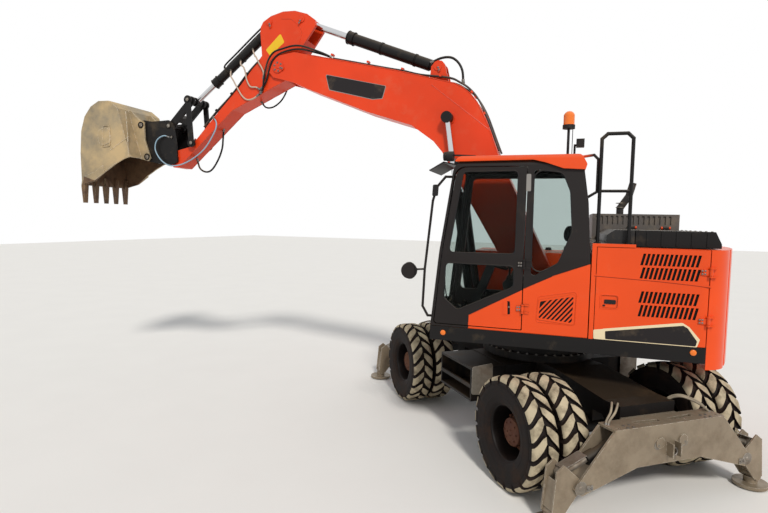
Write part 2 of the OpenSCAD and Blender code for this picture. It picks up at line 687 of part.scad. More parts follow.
module cab_frame() {
    color("#3b3b3e") on_house() {
        difference() {
            cab_shell();
            door_zone(door_gap);
            frame_windows();
        }
        for (z = door_hinge_z) hinge_lugs(door_axis, z, 60);
        // Louvred panel in the lower rear corner
        louvre_panel();
    }
    color("#e0501e") on_house() cab_roof();
    color("#1a1a1b") on_house() {
        // Rail in front of the door, with the round mirror
        pipe([[848, 1148, 2952], [886, 1176, 2950], [912, 1262, 2944], [1000, 1262, 2840], [1040, 1262, 2700],
            [1108, 1262, 1990], [1122, 1262, 1600], [1070, 1240, 1500], [1012, 1180, 1490]], 13);
        pipe([[1108, 1262, 1990], [1180, 1290, 1985], [1250, 1310, 1970]], 10);
        translate([1262, 1316, 1970]) rotate([90, 0, 20]) cylinder(r = 84, h = 34, center = true);
        // Rail behind the cab, visor over the windscreen
        pipe([[-400, 1140, 3136], [-497, 1140, 3150], [-536, 1140, 3110], [-536, 1140, 2800], [-450, 1140, 2745]], 13);
        plate([[812, 3088], [985, 3122], [1140, 3034], [1134, 3024], [980, 3108], [818, 3074]], 480, 1060);
    }
}

// Frame with sloping slats, standing proud of the cab's side
module louvre_panel() {
    outer = [[-30, 1545], [-45, 1738], [-385, 1815], [-375, 1515]];
    y = house_half - 1;
    difference() {
        plate(soft(outer, 25), y, y + 7);
        plate(soft([[-48, 1562], [-60, 1724], [-368, 1792], [-358, 1535]], 15), y + 3, y + 8);
    }
    intersection() {
        plate([[-48, 1562], [-60, 1724], [-368, 1792], [-358, 1535]], y, y + 7);
        for (i = [-3:7]) translate([0, y, 0]) along([-50 - 43 * i, 1480], [-350 - 43 * i, 1845])
            translate([0, 0, -8]) cube([500, 7, 16]);
    }
}

module cab_door() {
    color("#3b3b3e") on_house() difference() {
        union() {
            difference() {
                intersection() {
                    cab_shell();
                    door_zone(0);
                }
                door_windows();
            }
            for (z = door_hinge_z) hinge_leaf(door_axis, z, 60);
        }
        for (z = door_hinge_z) translate([door_axis.x, door_axis.y, z - 60]) cylinder(r = hinge_r + fit, h = 120);
    }
}

function between(a, b, t) = [for (i = [0:len(a) - 1]) a[i] * (1 - t) + b[i] * t];

// A thin layer inside the wall, where the panes lie
module pane_layer() {
    difference() {
        cab_block(between(cab_side, cab_side_in, 0.3), between(cab_front, cab_front_in, 0.3));
        cab_block(between(cab_side, cab_side_in, 0.45), between(cab_front, cab_front_in, 0.45));
    }
}

module door_glass() {
    color([0.5, 0.6, 0.65, 0.4]) on_house() intersection() {
        pane_layer();
        door_windows();
    }
}

module cab_glass() {
    color([0.5, 0.6, 0.65, 0.4]) on_house() intersection() {
        pane_layer();
        frame_windows();
    }
}

module cab_seat() {
    color("#222222") on_house() {
        box([-120, 560, 1440], [230, 920, 1620]);
        plate(soft([[-180, 1620], [300, 1620], [340, 1690], [310, 1790], [60, 1760], [-180, 1760]], [10, 30, 30, 50, 80, 30]),
            500, 980);
        plate(soft([[-180, 1620], [-180, 1760], [-255, 2240], [-300, 2300], [-355, 2290], [-330, 2100], [-280, 1700]], 20),
            515, 965);
        plate(soft([[-262, 2300], [-290, 2470], [-350, 2470], [-345, 2300]], 20), 620, 860);
        plate([[-330, 2250], [-290, 2250], [-300, 2340], [-330, 2340]], 700, 780);
        // Consoles with their levers
        for (y = [400, 990]) {
            plate(soft([[-200, 1560], [280, 1560], [330, 1900], [250, 1935], [-160, 1850], [-220, 1700]], 30), y, y + 100);
            translate([270, y + 50, 1880]) cylinder(r = 12, h = 150);
            translate([270, y + 50, 2020]) cylinder(r = 24, h = 95);
        }
        for (y = [495, 975]) box([-100, y, 1600], [150, y + 25, 1640]);
    }
}

// Steering column with its wheel, and the pedals
module cab_controls() {
    color("#222222") on_house() {
        difference() {
            along([700, 1440], [470, 2060]) translate([-20, 740, -45]) cube([640, 90, 90]);
            box([600, 700, skirt_hi - 60], [800, 900, skirt_hi + 44]);
        }
        along([700, 1440], [470, 2060]) {
            translate([600, 785, 0]) rotate([0, 90, 0]) cylinder(r = 20, h = 80);
            translate([650, 785, 0]) rotate([0, 90, 0]) rotate_extrude($fn = 48) translate([170, 0]) circle(r = 14, $fn = 16);
            for (a = [0, 120, 240]) translate([650, 785, 0]) rotate([a, 0, 0]) translate([-6, 0, -16]) cube([12, 172, 32]);
        }
        for (y = [600, 930]) plate([[800, 1440], [860, 1440], [800, 1600], [770, 1585]], y, y + 70);
    }
}

// Work lamp, beacon, rear lamp and aerial on the roof
module lamps() {
    color("#2a2a2c") on_house() {
        plate([[640, cap_top], [730, cap_top], [880, cap_top + 12], [880, cap_top + 24], [640, cap_top + 10]], 1070, 1120);
        translate([870, 1095, cap_top + 5]) rotate([0, 90, 0]) cylinder(r = 52, h = 70);
        translate([938, 1095, cap_top + 5]) rotate([0, 90, 0]) cylinder(r = 44, h = 8);
        translate([880, 520, cap_top + 5]) rotate([0, 90, 0]) cylinder(r = 52, h = 60);
        plate([[640, cap_top], [730, cap_top], [890, cap_top + 12], [890, cap_top + 24], [640, cap_top + 10]], 495, 545);
    }
    color("#d2641e") on_house() {
        translate([-257, 900, cap_top]) cylinder(r = 40, h = 12);
        translate([-257, 900, cap_top]) cylinder(r = 13, h = 290);
        translate([-257, 900, 3445]) cylinder(r = 60, h = 38);
        translate([-257, 900, 3480]) cylinder(r = 54, h = 100);
        intersection() {
            translate([-257, 900, 3566]) sphere(r = 56);
            translate([-257, 900, 3579]) cylinder(r = 54, h = 60);
        }
    }
    color("#2a2a2c") on_house() {
        translate([-325, 600, cap_top]) cylinder(r = 11, h = 150);
        box([-420, 555, 3300], [-340, 645, 3384]);
        box([-345, 585, 3312], [-315, 615, 3330]);
        translate([-300, 480, cap_top]) cylinder(r = 14, h = 30);
        translate([-300, 480, cap_top]) cylinder(r = 4, h = 420);
    }
}

module handrails() {
    color("#1f1f20") on_house() {
        // Loop on the deck behind the cab, with a crossbar and feet
        pipe([[-560, rail_y, bay_top + 35], [-560, rail_y, 3296], [-610, rail_y, 3343], [-785, rail_y, 3343],
            [-832, rail_y, 3296], [-832, rail_y, bay_top + 35]], 17);
        translate([-560, rail_y, 2806]) rotate([0, -90, 0]) cylinder(r = 14, h = 272);
        for (x = [-560, -832]) translate([x, rail_y, bay_top + 30]) cylinder(r = 32, h = 12);
    }
}

// Boom

boom_outline = [[-150, 1640], [-110, 1990], [535, 3322], [651, 3642], [790, 3920], [877, 4028], [970, 4105],
    [1075, 4160], [1747, 4345], [3247, 4700], [3560, 4665], [3640, 4480], [3560, 4390], [3267, 4307], [3028, 4201],
    [2216, 3877], [1601, 3678], [1315, 3473], [1199, 3337], [170, 1600], [60, 1480], [-60, 1480]];

module boom() {
    color("#e0501e") on_house() difference() {
        union() {
            plate(boom_outline, -boom_half, boom_half);
            // Base of the arm's cylinder
            for (y = [-98, 68]) plate([[1150, 4150], [1400, 4240], [1385, 4400], [1340, 4455], [1300, 4470],
                [1250, 4460], [1215, 4420]], y, y + 30);
            cross_bar(arm_cyl_base, end_pin_r, -98, 98);
            cross_bar(arm_pin, pin_r, -boom_half, boom_half);
            both_sides() {
                cross_bar(boom_cyl_eye, 80, boom_half, boom_half + 17);
                cross_bar(arm_pin, 78, boom_half - 2, boom_half + 14);
                cross_bar(arm_cyl_base, 50, 90, 108);
            }
        }
        cross_bar(foot, pin_r + fit, -300, 300);
        // Slot for the arm between the cheeks
        difference() {
            union() {
                cross_bar(arm_pin, 340, -fork_half, fork_half);
                plate([[2690, 4612], [3313, 4425], [3485, 4425], [3485, 4900], [2690, 4900]], -fork_half, fork_half);
            }
            cross_bar(arm_pin, pin_r, -boom_half, boom_half);
        }
    }
}

module boom_barrels() {
    color("#1b1b1c") on_house() both_sides() translate([0, boom_cyl_y, 0])
        along(boom_cyl_base, boom_cyl_eye) barrel(56, 1490, 60, boom_cyl_half);
}

module boom_rods() {
    reach = gap(boom_cyl_base, boom_cyl_eye);
    color("#c9c9c9") on_house() both_sides() translate([0, boom_cyl_y, 0])
        along(boom_cyl_base, boom_cyl_eye) rod(56, reach, 1250, 68, boom_cyl_half, boom_cyl_half);
}

// Arm and its linkage

arm_outline = [[2945, 5035], [2962, 5105], [3075, 5190], [3254, 5248], [3435, 5256], [3618, 5215], [3738, 5150],
    [3776, 5085], [3782, 5015], [3755, 4700], [4094, 4325], [4505, 3932], [4935, 3500], [5210, 3440], [5330, 3330], [5240, 3205], [5149, 3205],
    [4223, 3989], [3389, 4348], [3330, 4450], [3300, 4560]];

module arm() {
    color("#e0501e") on_house() difference() {
        plate(arm_outline, -arm_half, arm_half);
        cross_bar(arm_pin, pin_r + fit, -200, 200);
        cross_bar(tip_pin, pin_r + fit, -200, 200);
        cross_bar(idler_pin, end_pin_r + fit, -200, 200);
        // Slot between the head's plates
        plate([[2800, 4950], [3300, 4780], [3700, 4780], [4000, 5050], [4000, 5500], [2800, 5500]], -105, 105);
    }
    color("#e0501e") on_house() cross_bar(buck_cyl_base, end_pin_r, -105, 105);
    // Caps of the pins through its head
    color("#c9c9c9") on_house() both_sides() for (at = [buck_cyl_base, arm_cyl_eye])
        cross_bar(at, 44, arm_half - 2, arm_half + 12);
}

module arm_barrel() {
    color("#1b1b1c") on_house() along(arm_cyl_base, arm_cyl_eye) barrel(72, 1330, 66, 60);
}

module arm_rod() {
    reach = gap(arm_cyl_base, arm_cyl_eye);
    color("#c9c9c9") on_house() along(arm_cyl_base, arm_cyl_eye) rod(72, reach, 1100, 70, 60, 98);
}

module bucket_barrel() {
    color("#1b1b1c") on_house() along(buck_cyl_base, link_top) barrel(62, 1220, 60, 50);
}

module bucket_rod() {
    reach = gap(buck_cyl_base, link_top);
    color("#c9c9c9") on_house() along(buck_cyl_base, link_top) rod(62, reach, 1000, 62, 50, 70);
}

module idler_links() {
    color("#3a3a3c") on_house() {
        both_sides() along(idler_pin, link_top) {
            reach = gap(idler_pin, link_top);
            difference() {
                union() {
                    cross_bar([0, 0], 60, 185, 213);
                    cross_bar([reach, 0], 60, 185, 213);
                    box([0, 185, -38], [reach, 213, 38]);
                }
            }
            cross_bar([reach, 0], end_pin_r, 165, 185);
        }
        cross_bar(idler_pin, end_pin_r, -185, 185);
    }
}

module bucket_link() {
    reach = gap(coupler_pin, link_top);
    color("#1b1b1c") on_house() along(coupler_pin, link_top) difference() {
        union() {
            both_sides() {
                cross_bar([0, 0], 66, 90, 140);
                cross_bar([reach, 0], 62, 100, 140);
                box([0, 100, -50], [reach, 140, 50]);
            }
            box([120, -100, -45], [210, 100, 45]);
        }
        cross_bar([0, 0], end_pin_r + fit, -200, 200);
    }
}

module quick_coupler() {
    color("#1a1a1b") on_house() difference() {
        union() {
            both_sides() plate([[5140, 3290], [5211, 3245], [5500, 3265], [5640, 3290], [5725, 3350], [5700, 3600],
                [5835, 3790], [5820, 3885], [5740, 3905], [5600, 3880], [5300, 3890], [5220, 3830], [5165, 3560]], 152, 178);
            cross_bar(tip_pin, pin_r, -152, 152);
            cross_bar(coupler_pin, end_pin_r, -152, 152);
            // Body between the plates
            plate([[5400, 3320], [5590, 3330], [5600, 3560], [5690, 3780], [5640, 3850], [5440, 3850]], -152, 152);
        }
        cross_bar(ear_top, 30 + fit, -200, 200);
        cross_bar(ear_low, 30 + fit, -200, 200);
    }
}

// Section of the bucket from the lip by the arm, over the back, to the cutting edge
bucket_wrap = [[5765, 3345], [6000, 4050], [6150, 4160], [6350, 4165], [6500, 4090], [6620, 3950], [6690, 3740],
    [6710, 3400], [6690, 2930]];
bucket_mouth = [[6440, 2990], [6240, 3130], [6050, 3240], [5900, 3310]];
bucket_wrap_in = [[5795, 3345], [6020, 4025], [6160, 4130], [6345, 4135], [6480, 4065], [6592, 3935], [6660, 3735],
    [6680, 3400], [6660, 2930]];
bucket_half = 430;
cheek_t = 25;

module bucket() {
    color("#a79e8c") on_house() {
        difference() {
            plate(concat(bucket_wrap, bucket_mouth), -bucket_half, bucket_half);
            plate(concat(bucket_wrap_in, [[6660, 2800], [5795, 3200]]), -bucket_half + cheek_t, bucket_half - cheek_t);
        }
        both_sides() plate([[5600, 3340], [5640, 3300], [5775, 3330], [6000, 4050], [5960, 4050], [5780, 3895], [5715, 3875],
            [5700, 3600]], 190, 215);
        cross_bar(ear_top, 30, -215, 215);
        cross_bar(ear_low, 30, -215, 215);
        // Side cutters and round wear patches
        both_sides() {
            plate([[6240, 3118], [6430, 3000], [6640, 2950], [6640, 3060], [6440, 3120], [6270, 3220]], bucket_half - 2,
                bucket_half + 16);
            plate(soft([[6110, 3560], [6330, 3490], [6380, 3730], [6160, 3800]], 80), bucket_half - 2, bucket_half + 8);
        }
        // Teeth
        for (i = [-2:2]) plate([[6640, 3060], [6690, 3060], [6712, 2920], [6680, 2665], [6660, 2665], [6640, 2920]],
            i * 195 - 35, i * 195 + 35);
    }
}

// Nodes

chassis_frame();
chassis_boxes();
axles();
outrigger_beams();
knuckle_left();
knuckle_right();
rims_rear_left();
rims_rear_right();
rims_front_left();
rims_front_right();
tyres_rear_left();
tyres_rear_right();
tyres_front_left();
tyres_front_right();
leg_rear_left();
leg_rear_right();
leg_front_left();
leg_front_right();
leg_barrel_rear_left();
leg_barrel_rear_right();
leg_barrel_front_left();
leg_barrel_front_right();
leg_rod_rear_left();
leg_rod_rear_right();
leg_rod_front_left();
leg_rod_front_right();
house_frame();
counterweight();
engine_block();
side_panels();
engine_door();
engine_hood();
cab_frame();
cab_glass();
cab_seat();
cab_controls();
lamps();
cab_door();
door_glass();
handrails();
boom();
boom_barrels();
boom_rods();
arm();
arm_barrel();
arm_rod();
idler_links();
bucket_link();
bucket_barrel();
bucket_rod();
quick_coupler();
bucket();
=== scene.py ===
# %% [markdown]
# # Dressing a wheeled excavator
# The machine stands on its outriggers with the boom raised. Its solids come from the
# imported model, which fixes every size and every joint. Here each solid gets the finish
# the real machine wears, and pieces too fine for the solids are built over them.
# All lengths are metres. The machine's long boom runs along +X, up is +Z.

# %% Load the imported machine
import json
import math

import bmesh
import bpy
from mathutils import Matrix, Vector


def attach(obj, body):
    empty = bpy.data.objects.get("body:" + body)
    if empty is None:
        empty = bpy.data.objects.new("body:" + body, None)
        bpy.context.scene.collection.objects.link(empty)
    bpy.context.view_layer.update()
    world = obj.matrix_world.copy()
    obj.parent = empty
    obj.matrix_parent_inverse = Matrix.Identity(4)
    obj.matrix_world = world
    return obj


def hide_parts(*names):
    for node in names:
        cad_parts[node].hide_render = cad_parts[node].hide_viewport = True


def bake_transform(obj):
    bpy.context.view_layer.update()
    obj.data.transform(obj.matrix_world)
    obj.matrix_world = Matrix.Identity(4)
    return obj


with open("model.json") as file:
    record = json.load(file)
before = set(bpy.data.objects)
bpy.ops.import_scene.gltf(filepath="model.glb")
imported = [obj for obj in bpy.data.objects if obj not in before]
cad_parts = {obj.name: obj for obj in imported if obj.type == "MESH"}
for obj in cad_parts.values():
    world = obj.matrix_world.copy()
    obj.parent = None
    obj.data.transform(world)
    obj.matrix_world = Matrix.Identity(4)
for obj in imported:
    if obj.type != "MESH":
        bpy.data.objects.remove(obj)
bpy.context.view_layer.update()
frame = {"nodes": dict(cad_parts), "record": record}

# %% [markdown]
# The drawing was made about the slewing axis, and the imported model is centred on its
# own box. Two small helpers turn a drawing place, in millimetres, into a scene place:
# one for the upper structure, one for the undercarriage, which is turned 52 degrees.
# Written this way, every number below can be read straight off the drawing. Many
# pieces come in pairs, so the two sides are named by the sign of their Y.

# %% Drawing places
SLEW_AXIS = Vector((-2.2525, 0.2246, 0.0))
CHASSIS_TURN = Matrix.Rotation(math.radians(-52), 3, "Z")
LEFT, RIGHT = 1, -1


def house(x, y, z):
    return SLEW_AXIS + Vector((x, y, z)) / 1000


def chassis_way(x, y, z):
    """A direction on the undercarriage as a direction in the scene."""
    return CHASSIS_TURN @ Vector((x, y, z))


def chassis(x, y, z):
    return SLEW_AXIS + chassis_way(x, y, z) / 1000


print("slewing axis at", tuple(round(v, 3) for v in SLEW_AXIS))

# %% [markdown]
# The camera comes first, because every piece is judged through it. Its place was worked
# out from the photograph: about seven metres to the left of the machine, at the height
# of the cab's windows, with a wide lens. A rotation matrix built from heading, tilt
# and roll is easier to check than a set of Euler angles.

# %% Camera
CAMERA_AT = SLEW_AXIS + Vector((-0.245, 6.631, 2.483))
HEADING, TILT, ROLL = (math.radians(angle) for angle in (-71.417, -3.859, 1.16))
SENSOR_MM, PICTURE_WIDTH, FOCAL_PIXELS = 36, 768, 530.337

camera = bpy.data.objects.new("camera", bpy.data.cameras.new("camera"))
bpy.context.scene.collection.objects.link(camera)
look = Vector((math.cos(TILT) * math.cos(HEADING), math.cos(TILT) * math.sin(HEADING),
               math.sin(TILT)))
right = look.cross(Vector((0, 0, 1))).normalized()
up = right.cross(look)
tilted_right = right * math.cos(ROLL) + up * math.sin(ROLL)
tilted_up = up * math.cos(ROLL) - right * math.sin(ROLL)
camera.matrix_world = Matrix((
    (tilted_right.x, tilted_up.x, -look.x, CAMERA_AT.x),
    (tilted_right.y, tilted_up.y, -look.y, CAMERA_AT.y),
    (tilted_right.z, tilted_up.z, -look.z, CAMERA_AT.z),
    (0, 0, 0, 1),
))
camera.data.sensor_width = SENSOR_MM
camera.data.lens = SENSOR_MM * FOCAL_PIXELS / PICTURE_WIDTH
camera.data.clip_end = 200
bpy.context.scene.camera = camera
print("lens", round(camera.data.lens, 2), "mm")

# %% [markdown]
# Light and paint are both built from shader nodes. A node is one small step, such as a
# noise or a sum, and a link carries its result on. Four helpers make the steps that
# come back most, so that a material further down reads like a short recipe.

# %% Shader steps
def maths(tree, operation, a, b, clamp=False):
    node = tree.nodes.new("ShaderNodeMath")
    node.operation = operation
    node.use_clamp = clamp
    tree.links.new(a, node.inputs[0])
    tree.links.new(b, node.inputs[1])
    return node.outputs[0]


def noise_over(tree, space, scale, detail, roughness=0.55):
    """A noise over the piece, from 0 to 1; a larger scale gives a finer grain."""
    node = tree.nodes.new("ShaderNodeTexNoise")
    for socket, value in (("Scale", scale), ("Detail", detail), ("Roughness", roughness)):
        node.inputs[socket].default_value = value
    tree.links.new(space, node.inputs["Vector"])
    return node.outputs["Fac"]


def span(tree, source, low, high, to_low, to_high):
    """Stretches what lies between low and high to another range."""
    node = tree.nodes.new("ShaderNodeMapRange")
    for socket, value in (("From Min", low), ("From Max", high), ("To Min", to_low),
                          ("To Max", to_high)):
        node.inputs[socket].default_value = value
    tree.links.new(source, node.inputs["Value"])
    return node.outputs["Result"]


def mixed(tree, factor, a, b):
    """From a to b with the factor; each is a fixed colour or another step's result."""
    node = tree.nodes.new("ShaderNodeMix")
    node.data_type = "RGBA"
    tree.links.new(factor, node.inputs["Factor"])
    for socket, value in ((node.inputs["A"], a), (node.inputs["B"], b)):
        if isinstance(value, tuple):
            socket.default_value = value
        else:
            tree.links.new(value, socket)
    return node.outputs["Result"]


print("shader steps ready")

# %% [markdown]
# The picture has a white backdrop and soft light, so that the finishes are read and not
# the weather. A sky as bright as the backdrop would bleach every colour. So the camera,
# reflections and glass see pure white, and everything else is lit by a weaker sky,
# under which a colour renders about as it is written.

# %% Sky and backdrop
world = bpy.data.worlds.new("soft_sky")
bpy.context.scene.world = world
world.use_nodes = True
sky = world.node_tree
sky.nodes.clear()


def background(rgb, strength):
    node = sky.nodes.new("ShaderNodeBackground")
    node.inputs["Color"].default_value = (*rgb, 1)
    node.inputs["Strength"].default_value = strength
    return node.outputs[0]


rays = sky.nodes.new("ShaderNodeLightPath").outputs
seen = maths(sky, "MAXIMUM", rays["Is Camera Ray"], rays["Is Glossy Ray"])
seen = maths(sky, "MAXIMUM", seen, rays["Is Transmission Ray"])
chosen = sky.nodes.new("ShaderNodeMixShader")
sky_output = sky.nodes.new("ShaderNodeOutputWorld")
for source, socket in ((seen, chosen.inputs[0]),
                       (background((0.93, 0.96, 1.0), 0.52), chosen.inputs[1]),
                       (background((1, 1, 1), 1.0), chosen.inputs[2]),
                       (chosen.outputs[0], sky_output.inputs["Surface"])):
    sky.links.new(source, socket)
bpy.context.scene.view_settings.view_transform = "Standard"
print("sky steps", len(sky.nodes))

# %% [markdown]
# One large soft lamp stands in for the sun of the photograph, high on the left and a
# little behind the camera. A wide angle softens the shadows' edges. The floor is one
# face, just under the feet, so that no foot flickers into it.

# %% Sun and floor
sun = bpy.data.objects.new("sun", bpy.data.lights.new("sun", "SUN"))
sun.data.energy = 2.3
sun.data.angle = math.radians(9)
sun.data.color = (1.0, 0.965, 0.91)
sun.rotation_euler = (math.radians(-42), math.radians(-30), 0)
bpy.context.scene.collection.objects.link(sun)

floor_mesh = bpy.data.meshes.new("floor")
floor_mesh.from_pydata([(-40, -60, 0), (40, -60, 0), (40, 30, 0), (-40, 30, 0)], [],
                       [(0, 1, 2, 3)])
floor = bpy.data.objects.new("floor", floor_mesh)
bpy.context.scene.collection.objects.link(floor)
floor.location.z = -0.002
print("sun strength", round(sun.data.energy, 2))

# %% [markdown]
# ## Finishes
# Colours are picked off a screen, from 0 to 255 and bunched towards the dark end, while
# a shader wants linear light. One small function converts them. Without it every paint
# would come out pale.

# %% Colours
def colour(r, g, b):
    """A screen colour, 0 to 255, as linear light."""
    def one(v):
        v = v / 255
        return v / 12.92 if v < 0.04045 else ((v + 0.055) / 1.055) ** 2.4
    return (one(r), one(g), one(b), 1)


print("orange as light", tuple(round(v, 3) for v in colour(232, 78, 24)[:3]))

# %% [markdown]
# Paint chips first along sharp edges. A bevel node bends the normal close to an edge,
# so where it parts from the face's own normal there is an edge. A noise breaks the
# line up, since paint never wears evenly. No edge has to be marked by hand this way.

# %% Chipped edges
def chipped(tree, space, surface, wear, width):
    edge = tree.nodes.new("ShaderNodeBevel")
    edge.samples = 4
    edge.inputs["Radius"].default_value = width
    plain = tree.nodes.new("ShaderNodeNewGeometry")
    dot = tree.nodes.new("ShaderNodeVectorMath")
    dot.operation = "DOT_PRODUCT"
    tree.links.new(edge.outputs[0], dot.inputs[0])
    tree.links.new(plain.outputs["Normal"], dot.inputs[1])
    at_edge = span(tree, dot.outputs["Value"], 0.97, 0.88, 0, 1)
    broken = span(tree, noise_over(tree, space, 26, 6, 0.7), 0.44, 0.56, 0, 0.85)
    return mixed(tree, maths(tree, "MULTIPLY", at_edge, broken), surface, wear)


print("edge wear ready")

# %% [markdown]
# Every finish on this machine is a base colour, a dust colour and a grain. Site dust
# settles on faces that look up and in broken patches elsewhere, so one function builds
# all the painted and bare finishes: a broad noise shifts the base colour, a second one
# breaks up the dust, and a fine one makes the bump. The patterns are tied to each
# piece's own space, so they stay put when a joint moves.

# %% Paint and steel under dust
DUST = colour(176, 152, 118)
SHINE = 0.22


def finish(name, base, shade=0.8, rough=0.4, metal=0.0, dust=DUST, share=0.35, strength=0.4,
           up=0.3, patch=4.0, grain=60.0, depth=0.0008, coat=0.0, wear=None,
           wear_width=0.006):
    """Share and strength set the dust's patches, up the dust on top, depth the bump."""
    material = bpy.data.materials.new(name)
    material.use_nodes = True
    tree = material.node_tree
    shader = tree.nodes["Principled BSDF"]
    for socket, value in (("Metallic", metal), ("Coat Weight", coat), ("Coat Roughness", 0.15),
                          ("Specular IOR Level", 0.5 if metal > 0.2 else SHINE)):
        shader.inputs[socket].default_value = value
    place = tree.nodes.new("ShaderNodeTexCoord")
    space = place.outputs["Object"]

    broad = span(tree, noise_over(tree, space, 1.1, 3), 0.35, 0.65, 0, 1)
    painted = mixed(tree, broad, base, tuple(v * shade for v in base[:3]) + (1,))
    patches = span(tree, noise_over(tree, space, patch, 9, 0.66), 0.72 - share, 0.98 - share,
                   0, strength)
    normal = tree.nodes.new("ShaderNodeSeparateXYZ")
    tree.links.new(place.outputs["Normal"], normal.inputs[0])
    lying = span(tree, normal.outputs["Z"], 0.25, 0.95, 0, up)
    dusty = maths(tree, "ADD", patches, lying, clamp=True)
    surface = mixed(tree, dusty, painted, dust)
    if wear:
        surface = chipped(tree, space, surface, wear, wear_width)
    tree.links.new(surface, shader.inputs["Base Color"])
    tree.links.new(span(tree, dusty, 0, 1, rough, min(1, rough + 0.45)),
                   shader.inputs["Roughness"])

    bump = tree.nodes.new("ShaderNodeBump")
    bump.inputs["Strength"].default_value = 0.6
    bump.inputs["Distance"].default_value = depth
    tree.links.new(noise_over(tree, space, grain, 5), bump.inputs["Height"])
    tree.links.new(bump.outputs[0], shader.inputs["Normal"])
    return material


print("dust as light", tuple(round(v, 3) for v in DUST[:3]))

# %% [markdown]
# With the one function above, a finish is only a list of numbers: its colours, how
# rough and how metallic it is, how the dust lies and how fine the grain is. The lists
# below are read by this loop, so that they can be compared side by side.

# %% From recipes to finishes
FINISH = {}


def add_finishes(recipes):
    """One material for each recipe; base, dust and wear are given as screen colours."""
    for name, recipe in recipes.items():
        seen_as = {key: colour(*value) if key in ("base", "dust", "wear") else value
                   for key, value in recipe.items()}
        FINISH[name] = finish(name, **seen_as)
    print("finishes:", ", ".join(recipes))


print("recipes can be added")

# %% [markdown]
# The paints come first. Each was matched to the photograph, and most had to be written
# darker than they look there, because the white backdrop shines in them. The boom's
# paint is chipped to a brown primer, the outriggers' to bare steel.

# %% Paints
add_finishes({
    "orange_paint": dict(base=(232, 78, 24), shade=0.88, rough=0.32, coat=0.12, share=0.12,
                         strength=0.14, up=0.08, grain=220, depth=0.0002),
    "boom_paint": dict(base=(226, 66, 26), shade=0.84, rough=0.34, coat=0.12, share=0.16,
                       strength=0.16, up=0.08, grain=140, depth=0.0004, wear=(120, 70, 50)),
    "cab_paint": dict(base=(30, 25, 24), shade=0.85, rough=0.4, share=0.1, strength=0.08,
                      up=0.08, grain=200, depth=0.0003),
    "black_paint": dict(base=(20, 18, 18), shade=0.75, rough=0.42, share=0.14, strength=0.14,
                        up=0.12, grain=120, depth=0.0005),
    "hood_black": dict(base=(44, 43, 43), shade=0.82, rough=0.45, share=0.2, strength=0.2,
                       up=0.1, grain=160, depth=0.0005),
    "box_grey": dict(base=(98, 93, 89), shade=0.85, rough=0.55, share=0.2, strength=0.25,
                     up=0.12, grain=160, depth=0.0005),
    # Painted shadow: the thin dark strip under the engine door's fold.
    "painted_crease_shadow": dict(base=(150, 42, 12), shade=0.9, rough=0.5, share=0.05, strength=0.05,
                         up=0.0, grain=200, depth=0.0001),
    # Painted shade: black for the slots, recesses and the door handle's finger hollow.
    "painted_recess_shade": dict(base=(16, 15, 15), shade=0.9, rough=0.85, share=0.1, strength=0.1,
                       up=0.0, grain=100, depth=0.0003),
    "frame_paint": dict(base=(17, 13, 12), shade=0.7, rough=0.5, dust=(120, 96, 70), share=0.2,
                        strength=0.25, up=0.12, grain=80, depth=0.001),
    "outrigger_paint": dict(base=(152, 137, 116), shade=0.72, rough=0.42, metal=0.3,
                            dust=(96, 80, 62), share=0.3, strength=0.5, up=0.0, patch=5,
                            grain=70, depth=0.0012, wear=(206, 198, 184), wear_width=0.010),
    "tube_paint": dict(base=(58, 50, 48), shade=0.8, rough=0.4, share=0.2, strength=0.25,
                       up=0.15, grain=200, depth=0.0003),
    "tube_pale": dict(base=(196, 176, 158), shade=0.85, rough=0.4, share=0.2, strength=0.3,
                      up=0.1, grain=200, depth=0.0003),
})

# %% [markdown]
# Bare metal is the same recipe with more metal in it. The bucket is polished by the
# soil outside and stained brown inside, the rods are chromed, and the hubs have rusted
# in the brakes' heat.

# %% Bare and worn metal
add_finishes({
    "bucket_steel": dict(base=(148, 136, 114), shade=0.6, rough=0.46, metal=0.3,
                         dust=(204, 178, 134), share=0.34, strength=0.85, up=0.2, patch=2.0,
                         grain=90, depth=0.0015, wear=(224, 216, 202), wear_width=0.012),
    "bucket_inner": dict(base=(74, 52, 40), shade=0.6, rough=0.75, dust=(120, 92, 66),
                         share=0.36, strength=0.7, up=0.2, patch=3.0, grain=60, depth=0.003),
    "worn_steel": dict(base=(150, 144, 134), shade=0.7, rough=0.35, metal=0.6,
                       dust=(96, 78, 60), share=0.36, strength=0.7, up=0.1, patch=5.0, grain=90,
                       depth=0.0012, wear=(214, 210, 202)),
    # Rust brown on the teeth, also standing in as painted shade under the bucket's mouth.
    "tooth_rust_and_shade": dict(base=(96, 70, 52), shade=0.6, rough=0.5, metal=0.4, dust=(150, 122, 90),
                        share=0.3, strength=0.6, up=0.2, patch=6, grain=90, depth=0.0015,
                        wear=(180, 168, 150)),
    "chrome": dict(base=(205, 206, 208), shade=0.95, rough=0.12, metal=1.0, share=0.05,
                   strength=0.1, up=0.02, grain=300, depth=0.0001),
    "steel": dict(base=(120, 118, 116), shade=0.8, rough=0.4, metal=0.8, share=0.25,
                  strength=0.35, up=0.15, grain=160, depth=0.0005),
    "cast_iron": dict(base=(84, 82, 80), shade=0.75, rough=0.6, share=0.35, strength=0.4,
                      up=0.3, grain=90, depth=0.002),
    "hub_rust": dict(base=(84, 46, 34), shade=0.7, rough=0.6, dust=(120, 84, 60), share=0.34,
                     strength=0.6, up=0.15, grain=90, depth=0.0012),
    "rim_black": dict(base=(15, 10, 9), shade=0.7, rough=0.5, dust=(50, 34, 26), share=0.2,
                      strength=0.4, up=0.1, grain=90, depth=0.001, wear=(190, 170, 140),
                      wear_width=0.004),
})

# %% [markdown]
# Rubber and moulded plastic are rough and take up the dust's colour. The tread is worn
# by sand to a pale brown on top, while its grooves stay dark, so the tread's top has a
# finish of its own.

